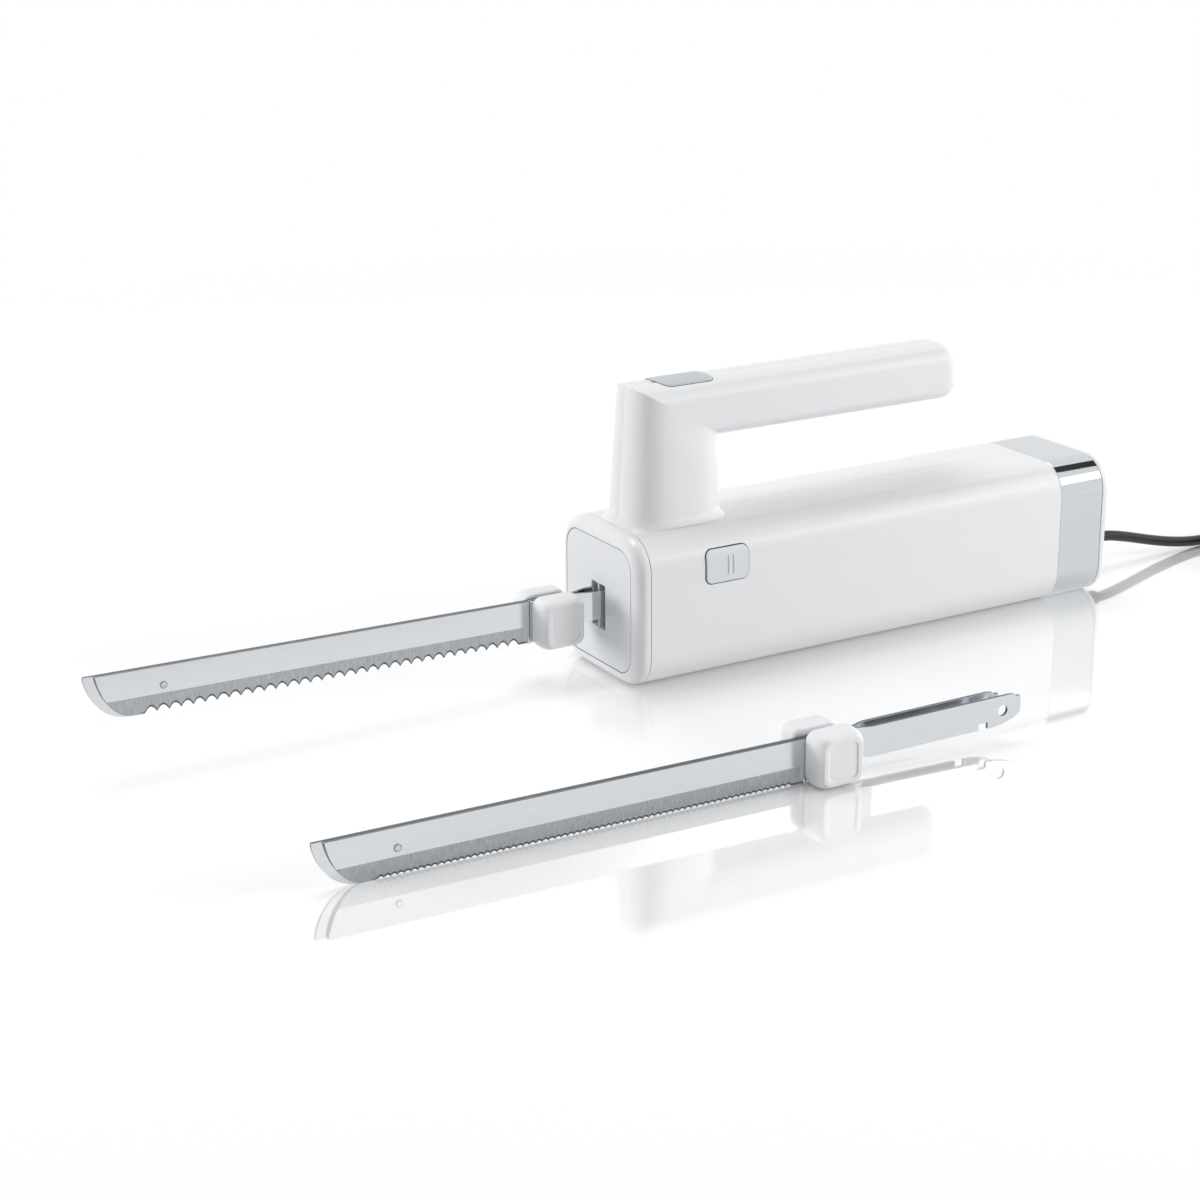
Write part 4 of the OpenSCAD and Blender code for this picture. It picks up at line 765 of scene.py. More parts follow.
@dataclass
class MainsLead:
    """The mains lead: a run to the right of the view, then a tied coil and a plug."""

    diameter: float = 5.2
    route: list[Point] = field(default_factory=lambda: [
        (158, 0, 16), (160, 0, 16), (165, 0, 15.5), (171, 0, 14.3), (178, 0, 12.6), (187, 0, 10.2),
        (196, 0, 7.9), (205, 0, 5.9), (214, 0.1, 4.3), (222, 0.3, 3.3), (230, 0.6, 2.8),
        (238, 0.8, 2.8), (246, 1, 3.2), (252, 1, 3.5)])
    coil_entry: Point = (257.0, 1.0, 3.5)
    coil_place: Point = (262.2, -40.5, 3.5)
    turns: int = 7
    points_a_turn: int = 24
    inner_r: float = 21.55
    turn_step: float = 5.7
    layer: float = 5.7
    stub: Flat = (5.2, 13.0)
    smooth_steps: int = 4

    def coil_point(self, u: float) -> Point:
        """Place on the coil after u turns: in on the lower layer, out on the upper one.

        Args:
            u: turns from the coil's start.

        Returns:
            The place, in millimetres.
        """
        a = math.radians(90.0 - 360.0 * u)
        half = self.turns / 2
        r = self.inner_r + self.turn_step * abs(u - half)
        x, y, z = self.coil_place
        return x + r * math.cos(a), y + r * math.sin(a), z + self.layer * smooth(2 * (u - half) + 0.5)

    def points(self) -> list[Vector]:
        """Every point of the lead's middle line.

        Returns:
            The places in metres, from the strain relief to the plug.
        """
        steps = self.turns * self.points_a_turn
        line = [*self.route, self.coil_entry]
        line += [self.coil_point(i / self.points_a_turn) for i in range(steps + 1)]
        x, y, z = line[-1]
        line += [(x + s, y, z) for s in self.stub]
        return [mm(*p) for p in line]

    def build(self, paints: Paints) -> None:
        """Args:
            paints: the finishes.
        """
        line = self.points()
        curve = bpy.data.curves.new("Mains lead", "CURVE")
        curve.dimensions = "3D"
        curve.bevel_depth = self.diameter * MM / 2
        curve.bevel_resolution = 5
        curve.resolution_u = 4
        curve.use_fill_caps = True
        spline = curve.splines.new("POLY")
        fine = catmull(line, self.smooth_steps)
        spline.points.add(len(fine) - 1)
        for point, place in zip(spline.points, fine):
            point.co = (*place, 1.0)
        lead = bpy.data.objects.new("mains_lead", curve)
        bpy.context.scene.collection.objects.link(lead)
        curve.materials.append(paints.of(Slot.LEAD_BLACK))
        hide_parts("cord_run", "cord_coil")
        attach(lead, "body")
        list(LeadFittings().plug(paints))


def catmull(line: Sequence[Vector], steps: int) -> list[Vector]:
    """Runs one smooth curve through points.

    Args:
        line: the points.
        steps: pieces between two neighbours.

    Returns:
        The finer line.
    """
    fine: list[Vector] = []
    for i in range(len(line) - 1):
        a, b = line[i], line[i + 1]
        before = line[i - 1] if i else a - (b - a)
        after = line[i + 2] if i + 2 < len(line) else b + (b - a)
        for k in range(steps):
            s = k / steps
            fine.append(0.5 * ((2 * a) + (b - before) * s + (2 * before - 5 * a + 4 * b - after) * s * s
                               + (3 * a - before - 3 * b + after) * s ** 3))
    fine.append(line[-1].copy())
    return fine


# Geometry


@dataclass
class Skin:
    """Corners and faces of a mesh that is being put together, in front-face millimetres."""

    corners: list[Point] = field(default_factory=list)
    faces: list[tuple[int, ...]] = field(default_factory=list)
    zones: list[float] = field(default_factory=list)

    def ring(self, points: Iterable[Point]) -> list[int]:
        """Adds a row of corners and gives their numbers.

        Args:
            points: the corners.

        Returns:
            Their numbers.
        """
        start = len(self.corners)
        self.corners.extend(points)
        return list(range(start, len(self.corners)))

    def face(self, *numbers: int, zone: float = 0.0) -> None:
        """Adds one face."""
        self.faces.append(tuple(numbers))
        self.zones.append(zone)

    def bridge(self, a: Sequence[int], b: Sequence[int], closed: bool = True, zone: float = 0.0) -> None:
        """Joins two rows with four-sided faces.

        Args:
            a: first row.
            b: second row.
            closed: whether the last corner joins the first.
            zone: finish zone of the faces, which also marks faces for painted shade.
        """
        count = len(a) if closed else len(a) - 1
        for i in range(count):
            k = (i + 1) % len(a)
            self.face(a[i], a[k], b[k], b[i], zone=zone)

    def lid(self, row: Sequence[int]) -> None:
        """Closes a ring with a fan about its middle.

        Args:
            row: numbers of the ring's corners.
        """
        middle = np.mean([self.corners[i] for i in row], axis=0)
        hub = self.ring([tuple(middle)])[0]
        for i in range(len(row)):
            self.face(row[i], row[(i + 1) % len(row)], hub)

    def ladder(self, row: Sequence[int]) -> None:
        """Closes a ring by joining its two halves across.

        Args:
            row: numbers of the ring's corners.
        """
        n = len(row)
        for i in range((n - 1) // 2):
            a, b, c, d = row[i], row[i + 1], row[n - 2 - i], row[n - 1 - i]
            if b == c:
                self.face(a, b, d)
            else:
                self.face(a, b, c, d)

    def tube(self, rings: Sequence[Sequence[Point]], dark: Iterable[int] = (), mark: float = 1.0) -> None:
        """Lofts closed rings, with lids at both ends.

        Args:
            rings: the rings in order.
            dark: numbers of the bands that get painted shade, such as the walls of a gap.
            mark: zone of those bands, which sets how strongly the shade is painted.
        """
        rows, walls = [self.ring(r) for r in rings], set(dark)
        for i, (a, b) in enumerate(zip(rows, rows[1:])):
            self.bridge(a, b, zone=mark * (i in walls))
        self.lid(rows[0])
        self.lid(rows[-1])

    def hoop(self, rings: Sequence[Sequence[Point]], dark: Iterable[int] = ()) -> None:
        """Lofts closed rings whose last one joins the first.

        Args:
            rings: the rings in order.
            dark: numbers of the bands that get painted shade, such as the walls of a gap.
        """
        rows, walls = [self.ring(r) for r in rings], set(dark)
        for i, (a, b) in enumerate(zip(rows, rows[1:] + rows[:1])):
            self.bridge(a, b, zone=float(i in walls))

    def build(self, name: str, material: Paint, sharp: float = CRISP,
              place: Matrix | None = None) -> Piece:
        """Makes the object.

        Args:
            name: the piece's name.
            material: its finish.
            sharp: edges that turn more than this many degrees stay crisp.
            place: turn and shift in front-face metres, if any.

        Returns:
            The object, at the origin, with its place in its mesh.
        """
        mesh = bpy.data.meshes.new(name)
        mesh.from_pydata([mm(*c) for c in self.corners], [], self.faces)
        if any(self.zones):
            zone = mesh.attributes.new("zone", "FLOAT", "FACE")
            zone.data.foreach_set("value", self.zones)
        if place is not None:
            mesh.transform(place)
        mesh.transform(Matrix.Translation(mm(FRONT_X, 0, 0)))
        tidy_mesh(mesh, sharp)
        mesh.materials.append(material)
        piece = bpy.data.objects.new(name, mesh)
        bpy.context.scene.collection.objects.link(piece)
        return piece


def loft(name: str, rings: Sequence[Sequence[Point]], material: Paint, sharp: float = CRISP,
         place: Matrix | None = None, dark: Iterable[int] = (), mark: float = 1.0) -> Piece:
    """Makes a piece of closed rings with lids, as Skin.tube and Skin.build do.

    Args:
        name: the piece's name.
        rings: the rings in order.
        material: its finish.
        sharp: edges that turn more than this many degrees stay crisp.
        place: turn and shift in front-face metres, if any.
        dark: numbers of the bands that get painted shade, such as the walls of a gap.
        mark: zone of those bands, which sets how strongly the shade is painted.

    Returns:
        The object.
    """
    skin = Skin()
    skin.tube(rings, dark, mark)
    return skin.build(name, material, sharp, place)


def to_front(piece: Piece) -> Piece:
    """Moves a piece's mesh so that the body's front face is at x = 0."""
    piece.data.transform(Matrix.Translation(-mm(FRONT_X, 0, 0)))
    return piece


def tidy_mesh(mesh: bpy.types.Mesh, sharp: float, merge: float = MERGE) -> None:
    """Merges doubles, turns faces outwards and marks the crisp edges.

    Args:
        mesh: the mesh.
        sharp: edges that turn more than this many degrees stay crisp.
        merge: corners closer than this, in metres, become one.
    """
    bm = bmesh.new()
    bm.from_mesh(mesh)
    bmesh.ops.remove_doubles(bm, verts=bm.verts, dist=merge)
    bmesh.ops.dissolve_degenerate(bm, edges=bm.edges, dist=merge)
    bmesh.ops.recalc_face_normals(bm, faces=bm.faces)
    bm.to_mesh(mesh)
    bm.free()
    mesh.shade_smooth()
    mesh.set_sharp_from_angle(angle=math.radians(sharp))
    crisp_zones(mesh)
    mesh.update()


def crisp_zones(mesh: bpy.types.Mesh) -> None:
    """Keeps the line between two finish zones crisp.

    Args:
        mesh: the mesh, with its zones in the face attribute "zone" if it has any.
    """
    if "zone" not in mesh.attributes:
        return
    bm = bmesh.new()
    bm.from_mesh(mesh)
    zone = bm.faces.layers.float.get("zone")
    for edge in bm.edges:
        if len({round(face[zone], 2) for face in edge.link_faces}) > 1:
            edge.smooth = False
    bm.to_mesh(mesh)
    bm.free()


def baked(piece: Piece) -> Piece:
    """Turns the result of a piece's modifiers into its plain mesh.

    Args:
        piece: an object with modifiers.

    Returns:
        The same object, without modifiers.
    """
    bpy.context.view_layer.update()
    evaluated = piece.evaluated_get(bpy.context.evaluated_depsgraph_get())
    mesh = bpy.data.meshes.new_from_object(evaluated)
    old, name = piece.data, piece.data.name
    piece.modifiers.clear()
    piece.data = mesh
    bpy.data.meshes.remove(old)
    mesh.name = name
    return piece


def carve(piece: Piece, cutters: Sequence[Piece], sharp: float = CRISP) -> None:
    """Cuts shapes out of a piece and drops the cutters.

    Args:
        piece: what is cut.
        cutters: the shapes that are taken out.
        sharp: edges that turn more than this many degrees stay crisp.
    """
    for cutter in cutters:
        step = piece.modifiers.new("Opening", "BOOLEAN")
        step.operation, step.solver, step.object = "DIFFERENCE", "EXACT", cutter
    baked(piece)
    for cutter in cutters:
        bpy.data.objects.remove(cutter)
    tidy_mesh(piece.data, sharp, FINE_MERGE)


def mark_gap_shade(piece: Piece, middle: Vector, half: Vector, axis: int) -> None:
    """Marks the walls of an opening, which run along one axis inside a box, so that they get painted shade.

    Args:
        piece: what has the opening.
        middle: the middle of the box, in metres.
        half: half of the box's sizes, in metres.
        axis: 0, 1 or 2 for the axis that the walls run along.
    """
    mesh = piece.data
    zone = mesh.attributes.get("zone") or mesh.attributes.new("zone", "FLOAT", "FACE")
    for face in mesh.polygons:
        away = face.center - middle
        if abs(face.normal[axis]) < 0.3 and all(abs(away[i]) < half[i] for i in range(3)):
            zone.data[face.index].value = 1.0
    crisp_zones(mesh)


def join(pieces: Sequence[Piece]) -> Piece:
    """Makes one mesh object of several.

    Args:
        pieces: the objects, all at the origin.

    Returns:
        The first object, which now holds every mesh.
    """
    bm = bmesh.new()
    for piece in pieces:
        bm.from_mesh(piece.data)
    first = pieces[0]
    bm.to_mesh(first.data)
    bm.free()
    for piece in pieces[1:]:
        bpy.data.objects.remove(piece)
    first.data.update()
    return first


def settle(piece: Piece, body: str, slot: Slot, *nodes: str) -> Piece:
    """Keeps a finished piece's flats flat and puts it in the place of its CAD nodes.

    Args:
        piece: the finished piece.
        body: the CAD body that it rides on.
        slot: where its finish comes from; not used.
        nodes: the CAD nodes that it stands for.

    Returns:
        The piece.
    """
    step = piece.modifiers.new("Flats stay flat", "WEIGHTED_NORMAL")
    step.keep_sharp, step.weight = True, 50
    baked(piece)
    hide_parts(*nodes)
    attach(piece, body)
    log.info("%s: %d faces on %s", piece.name, len(piece.data.polygons), body)
    return piece


def rounded_loop(w: float, h: float, r: float, turn: int = 8, side: int = 1) -> list[Flat]:
    """Corners of a rounded rectangle about the origin.

    Args:
        w: width.
        h: height.
        r: corner radius.
        turn: steps in each corner.
        side: steps along each straight side.

    Returns:
        The corners, counter-clockwise.
    """
    loop: list[Flat] = []
    signs = ((1, 1), (-1, 1), (-1, -1), (1, -1))

    def corner(c: int, degrees: float) -> Flat:
        """Place on the arc of one corner."""
        a, (sx, sy) = math.radians(degrees), signs[c % 4]
        return sx * (w / 2 - r) + r * math.cos(a), sy * (h / 2 - r) + r * math.sin(a)

    for c in range(4):
        loop += [corner(c, 90 * c + 90 * k / turn) for k in range(turn + 1)]
        (x0, y0), (x1, y1) = loop[-1], corner(c + 1, 90 * (c + 1))
        loop += [(lerp(x0, x1, k / side), lerp(y0, y1, k / side)) for k in range(1, side)]
    return loop


def arc(r: float, start: float, end: float, count: int) -> list[Flat]:
    """Sine and cosine of evenly spread angles in degrees, times a radius."""
    turns = [math.radians(a) for a in np.linspace(start, end, count)]
    return [(r * math.sin(a), r * math.cos(a)) for a in turns]


def circle(r: float, sides: int) -> list[Flat]:
    """Corners of a circle about the origin."""
    return [(r * math.cos(math.tau * k / sides), r * math.sin(math.tau * k / sides)) for k in range(sides)]


def lathe_x(profile: Sequence[Flat], y: float, z: float, sides: int = 48) -> list[list[Point]]:
    """Rings of a turned piece about a line along X, from places and their radii."""
    return [[(x, y + u, z + v) for u, v in circle(r, sides)] for x, r in profile]


def lathe_y(profile: Sequence[Flat], x: float, z: float, sides: int = 32) -> list[list[Point]]:
    """Rings of a turned piece about a line along Y."""
    return [[(x + u, y, z + v) for u, v in circle(r, sides)] for y, r in profile]


# Fittings of the lead


@dataclass
class LeadFittings:
    """The ribbed strain relief at the body, and the plug at the lead's far end."""

    relief: Flat = (264.0, 290.0)
    relief_r: Flat = (5.4, 3.6)
    relief_z: float = 16.0
    plug_place: Point = (275.2, 1.0, 9.2)
    plug_lean: float = math.asin((9.2 - 6.85) / 52.0)
    plug_neck: float = 18.0
    plug_neck_r: Flat = (2.8, 5.0)
    plug_length: float = 34.0
    plug_low: float = 13.6
    plug_widths: tuple[Flat, ...] = ((0.0, 5.1), (0.12, 7.2), (0.3, 12.3), (0.38, 12.9), (0.68, 12.9),
                                     (0.78, 12.1), (0.95, 10.3), (1.0, 9.5))
    plug_rings: int = 86
    ribs: int = 6
    grip_waves: int = 16
    grip_depth: float = 0.35
    sleeve_end: float = 10.0
    sleeve_t: float = 0.12
    sharp: float = 38.0
    pin: tuple[float, float, float] = (2.0, 19.0, 9.5)

    def ribbed(self, start: Flat, end: Flat, count: int) -> list[Flat]:
        """Profile of a taper with round-edged ribs, from one (place, radius) to another."""
        rib = ((0.0, 0.16), (0.05, 0.03), (0.12, 0.0), (0.44, 0.0), (0.51, 0.03), (0.56, 0.16), (0.6, 0.6),
               (0.64, 0.7), (0.9, 0.7), (0.95, 0.6))
        return [(lerp(start[0], end[0], (i + s) / count), lerp(start[1], end[1], (i + s) / count) - d)
                for i in range(count) for s, d in rib]

    def strain_relief(self, paints: Paints) -> None:
        """Builds and dresses the strain relief.

        Args:
            paints: the finishes.
        """
        (x0, x1), (r0, r1) = self.relief, self.relief_r
        profile = [(x0 - 1.0, POINT_R), (x0 - 1.0, r0), (x0 + 1.2, r0)]
        profile += self.ribbed((x0 + 1.2, r0), (x1 - 2.2, r1 + 0.2), self.ribs)
        profile += [(x1 - 2.0, r1 + 0.1), (x1 - 0.5, r1), (x1 - 0.12, r1 - 0.2), (x1 - 0.02, r1 - 0.6),
                    (x1 - 0.02, POINT_R)]
        rings = lathe_x(profile, 0.0, self.relief_z, 56)
        settle(loft("ribbed_relief", rings, paints.of(Slot.LEAD_BLACK)), "body", Slot.LEAD_BLACK,
               "strain_relief")

    def plug(self, paints: Paints) -> list[Piece]:
        """Builds and dresses the plug.

        Args:
            paints: the finishes.

        Returns:
            The plug's body and its pins.
        """
        x, y, z = self.plug_place
        place = Matrix.Translation(mm(x - FRONT_X, y, z)) @ Matrix.Rotation(self.plug_lean, 4, "Y")
        r0, r1 = self.plug_neck_r
        neck_end = self.plug_neck + 3
        neck = [(0.0, POINT_R), (0.0, r0), *self.ribbed((0.6, r0), (self.plug_neck - 0.4, r1), self.ribs),
                (self.plug_neck, r1), (neck_end, r1), (neck_end, POINT_R)]
        rings = []
        places, widths = zip(*self.plug_widths)
        for share in np.linspace(0.0, 1.0, self.plug_rings):
            half = float(np.interp(share, places, widths))
            grip = smooth((share - 0.36) / 0.06) * smooth((0.72 - share) / 0.06)
            half -= self.grip_depth * grip * (0.5 + 0.5 * math.cos(share * math.tau * self.grip_waves))
            close = 1 - 0.3 * (1 - smooth(share / 0.2)) - 0.08 * smooth((share - 0.965) / 0.035)
            tall = self.plug_low * close
            corner = min(4.5, tall / 2 - 0.05, half - 0.05)
            rings.append([(self.plug_neck + share * self.plug_length, u, v)
                          for u, v in rounded_loop(2 * half, tall, corner, 8, 3)])
        black, metal = paints.of(Slot.LEAD_BLACK), paints.of(Slot.PIN_METAL)
        body = join([loft("plug_shell", rings, black, self.sharp, place),
                     loft("plug_neck", lathe_x(neck, 0.0, 0.0, 40), black, self.sharp, place)])
        r, length, side = self.pin
        start = self.plug_neck + self.plug_length
        pin = [(start - 1.0, POINT_R), (start - 1.0, r), (start + self.sleeve_end, r),
               (start + self.sleeve_end + 0.2, r - self.sleeve_t)]
        for s, c in arc(r, 0, 90, 7):
            pin.append((start + length - r + s, max(POINT_R, c) - self.sleeve_t * (c > 0.2)))
        pair = join([loft("plug_pin", lathe_x(pin, sign * side, 0.0, 32), metal, self.sharp, place)
                     for sign in (-1, 1)])
        body.name, pair.name = "ribbed_plug", "plug_contacts"
        return [settle(body, "body", Slot.LEAD_BLACK, "plug_body"),
                settle(pair, "body", Slot.PIN_METAL, "plug_pins")]


# Body shell


@dataclass
class BodyShell:
    """The long body: two glossy shells, a front cap and its panel, a mirror band and an end plate."""

    width: float = 67.0
    height: float = 68.0
    edge_r: float = 15.4
    wall: float = 2.5
    cap_end: float = 7.0
    band_start: float = 235.0
    band_end: float = 260.3
    length: float = 264.0
    rim_r: float = 5.5
    panel_inset: float = 5.7
    panel_t: float = 3.0
    band_t: float = 1.2
    plate_r: float = 2.0
    seam: float = 0.06
    seam_r: float = 0.32
    slot_in: float = 0.65
    slot_out: float = 5.7
    slot_low: float = 21.5
    slot_top: float = 41.8
    button_place: Flat = (46.0, 52.0)
    button_size: tuple[float, float, float] = (22.1, 15.2, 3.2)
    button_gap: float = 0.42
    lead_z: float = 16.0
    relief_r: float = 5.4
    vents: int = 5
    vent_size: Flat = (2.0, 18.0)
    vent_step: float = 5.0
    vent_z: float = 43.0
    stations: tuple[Point, ...] = ((14.0, 33.0, 6.0), (33.0, 60.0, 1.5), (64.0, 230.0, 8.0))
    parting: tuple[Flat, ...] = ((0.05, 1.0), (0.11, 0.35), (0.22, 0.06), (0.42, 0.0))
    parting_depth: float = 0.3

    def half_outline(self, side: int, inset: float, groove: float = 0.0) -> list[Flat]:
        """One side of the body's cross-section, from the top parting line to the bottom one.

        Args:
            side: -1 for the near side, 1 for the far side.
            inset: how far inside the surface.
            groove: depth of the parting line's rounding.

        Returns:
            Places as (y, z).
        """
        hw, r = self.width / 2, self.edge_r
        cy, cr = hw - r, r - inset
        top = [(y, groove * share) for y, share in self.parting]
        flat = [lerp(self.parting[-1][0], cy, s / 5) for s in range(1, 5)]
        half = [(y, self.height - inset - d) for y, d in top] + [(y, self.height - inset) for y in flat]
        half += [(cy + s, self.height - r + c) for s, c in arc(cr, 0, 90, 25)]
        half += [(hw - inset, lerp(self.height - r, r, s / 14)) for s in range(1, 14)]
        half += [(cy + c, r - s) for s, c in arc(cr, 0, 90, 25)]
        half += [(y, inset) for y in reversed(flat)] + [(y, inset + d) for y, d in reversed(top)]
        return [(side * y, z) for y, z in half]

    def outline(self, inset: float) -> list[Flat]:
        """The whole cross-section as a closed loop of (y, z)."""
        near, far = self.half_outline(-1, inset), self.half_outline(1, inset)
        return near + far[::-1]

    def ring(self, x: float, inset: float) -> list[Point]:
        """A closed ring of the body's outline at x."""
        return [(x, y, z) for y, z in self.outline(inset)]

    def end_steps(self) -> list[Flat]:
        """The small rounding at a seam, as (distance from the seam, inset)."""
        r = self.seam_r
        return [(0.0, r + 0.15)] + [(r * (1 - math.cos(math.radians(a))), r * (1 - math.sin(math.radians(a))))
                                    for a in (20, 45, 68)] + [(r, 0.0)]

    def shell(self, side: int, paint: Paint) -> Piece:
        """One half of the body's shell, with its button opening.

        Args:
            side: -1 for the near side, 1 for the far side.
            paint: its finish.

        Returns:
            The piece.
        """
        x0, x1 = self.cap_end + self.seam, self.band_start - self.seam
        steps = self.end_steps()
        xs = [x0 + d for d, _ in steps] + [x for span in self.stations for x in np.arange(*span)]
        xs += [x1 - d for d, _ in reversed(steps)]
        insets = [i for _, i in steps] + [0.0] * (len(xs) - 2 * len(steps)) + [i for _, i in reversed(steps)]
        skin = Skin()
        outer = [skin.ring((x, y, z) for y, z in self.half_outline(side, i, self.parting_depth))
                 for x, i in zip(xs, insets)]
        inner = [skin.ring((x, y, z) for y, z in self.half_outline(side, self.wall)) for x in xs]
        # The outer bands at both seams and the walls at the ends get painted shade.
        for rows in (outer, inner):
            for i, (a, b) in enumerate(zip(rows, rows[1:])):
                skin.bridge(a, b, closed=False, zone=float(rows is outer and i in (0, len(rows) - 2)))
        for a, b in ((outer[0], inner[0]), (outer[-1], inner[-1])):
            skin.bridge(a, b, closed=False, zone=1.0)
        for k in (0, -1):
            skin.bridge([row[k] for row in outer], [row[k] for row in inner], closed=False)
        piece = skin.build("near_shell" if side < 0 else "far_shell", paint)
        carve(piece, [self.button_cutter(side, paint)])
        # The walls of the release button's opening get painted shade.
        w, h, _ = self.button_size
        x, z = self.button_place
        mark_gap_shade(piece, mm(FRONT_X + x, side * 30, z), mm(w / 2 + 0.8, 6, h / 2 + 0.8), 1)
        return piece

    def button_cutter(self, side: int, paint: Paint) -> Piece:
        """The shape of a release button's opening.

        Args:
            side: -1 for the near side, 1 for the far side.
            paint: its finish.

        Returns:
            The cutter.
        """
        w, h, r = self.button_size
        gap, (x, z) = self.button_gap, self.button_place
        loop = rounded_loop(w + 2 * gap, h + 2 * gap, r + gap, 10)
        rings = [[(x + u, side * y, z + v) for u, v in loop] for y in (24.0, 36.0)]
        return loft("button_opening", rings, paint)

    def cap(self, paint: Paint) -> Piece:
        """The front cap, a rounded rim round the panel.

        Args:
            paint: its finish.

        Returns:
            The piece.
        """
        r, steps = self.rim_r, self.end_steps()
        profile = [(self.cap_end - self.seam - d, i) for d, i in steps] + [(5.9, 0.0)]
        profile += [(r - s, r - c) for s, c in arc(r, 0, 90, 15)]
        edge = self.panel_inset - 0.04
        profile += [(0.02, edge - 0.12), (0.08, edge - 0.03), (0.2, edge), (self.panel_t, edge),
                    (self.panel_t, self.wall + 0.4), (self.cap_end - self.seam, self.wall + 0.4)]
        skin = Skin()
        last = len(profile)
        # The bands at the seam and along the panel's edge get painted shade.
        skin.hoop([self.ring(x, i) for x, i in profile], (0, last - 5, last - 4, last - 1))
        return skin.build("front_cap_rim", paint)

    def panel(self, paint: Paint) -> Piece:
        """The flat front panel with its two blade slots.

        Args:
            paint: its finish.

        Returns:
            The piece.
        """
        edge = self.panel_inset + 0.2
        profile = ((self.panel_t, edge), (0.35, edge), (0.16, edge + 0.05), (0.04, edge + 0.16),
                   (0.0, edge + 0.34))
        # The panel's edge wall gets painted shade.
        piece = loft("front_slot_panel", [self.ring(x, i) for x, i in profile], paint, dark=(0,))
        cutters = []
        w, h = self.slot_out - self.slot_in, self.slot_top - self.slot_low
        for side in (-1, 1):
            y, z = side * (self.slot_out + self.slot_in) / 2, (self.slot_top + self.slot_low) / 2
            rings = [[(x, y + u, z + v) for u, v in rounded_loop(w + g, h + g, 0.5 + g / 2, 5)]
                     for x, g in ((-1.0, 2.6), (0.0, 0.6), (0.3, 0.0), (8.0, 0.0))]
            cutters.append(loft("slot_opening", rings, paint))
        carve(piece, cutters)
        return piece

    def band(self, paint: Paint) -> Piece:
        """The mirror-bright band.

        Args:
            paint: its finish.

        Returns:
            The piece.
        """
        steps = self.end_steps()
        front = [(self.band_start + self.seam + d, i) for d, i in steps]
        rear = [(self.band_end - self.seam - d, i) for d, i in reversed(steps)]
        middle = [(x, 0.0) for x in np.linspace(self.band_start + 3, self.band_end - 3, 5)]
        inside = [(self.band_end - self.seam, self.band_t), (self.band_start + self.seam, self.band_t)]
        skin = Skin()
        last = len(front + middle + rear)
        # The bands at both seams get painted shade.
        skin.hoop([self.ring(x, i) for x, i in front + middle + rear + inside],
                  (0, last - 2, last - 1, last + 1))
        return skin.build("mirror_band", paint)

    def plate(self, paint: Paint) -> Piece:
        """The end plate with its air slots and the lead's opening.

        Args:
            paint: its finish.

        Returns:
            The piece.
        """
        r, steps = self.plate_r, self.end_steps()
        profile = [(self.band_end + self.seam + d, i) for d, i in steps]
        profile += [(self.length - r + s, r - c) for s, c in arc(r, 0, 90, 10)]
        # The band at the seam gets painted shade.
        piece = loft("end_plate_cover", [self.ring(x, i) for x, i in profile], paint, dark=(0,))
        (w, h), inside = self.vent_size, self.length - 9
        cutters = []
        for i in range(self.vents):
            y = (i - (self.vents - 1) / 2) * self.vent_step
            rings = [[(x, y + u, self.vent_z + v) for u, v in rounded_loop(w + g, h + g, w / 2 - 0.01, 8)]
                     for x, g in ((inside, 0.0), (self.length - 0.25, 0.0), (self.length + 0.5, 1.2))]
            cutters.append(loft("vent_opening", rings, paint))
        r = self.relief_r + 0.12
        hole = lathe_x([(inside, r), (self.length + 6, r)], 0.0, self.lead_z)
        cutters.append(loft("lead_opening", hole, paint))
        carve(piece, cutters)
        return piece

    def build(self, paints: Paints) -> None:
        """Builds and dresses the body.

        Args:
            paints: the finishes.
        """
        white = paints.of(Slot.WHITE_GLOSS)
        settle(self.shell(-1, white), "body", Slot.WHITE_GLOSS, "housing_left")
        settle(self.shell(1, white), "body", Slot.WHITE_GLOSS, "housing_right")
        settle(self.cap(white), "body", Slot.WHITE_GLOSS, "front_cap")
        settle(self.panel(paints.of(Slot.PANEL_WHITE)), "body", Slot.PANEL_WHITE, "front_panel")
        settle(self.band(paints.of(Slot.BAND_CHROME)), "body", Slot.BAND_CHROME, "chrome_band")
        settle(self.plate(white), "body", Slot.WHITE_GLOSS, "end_plate")


# Handle


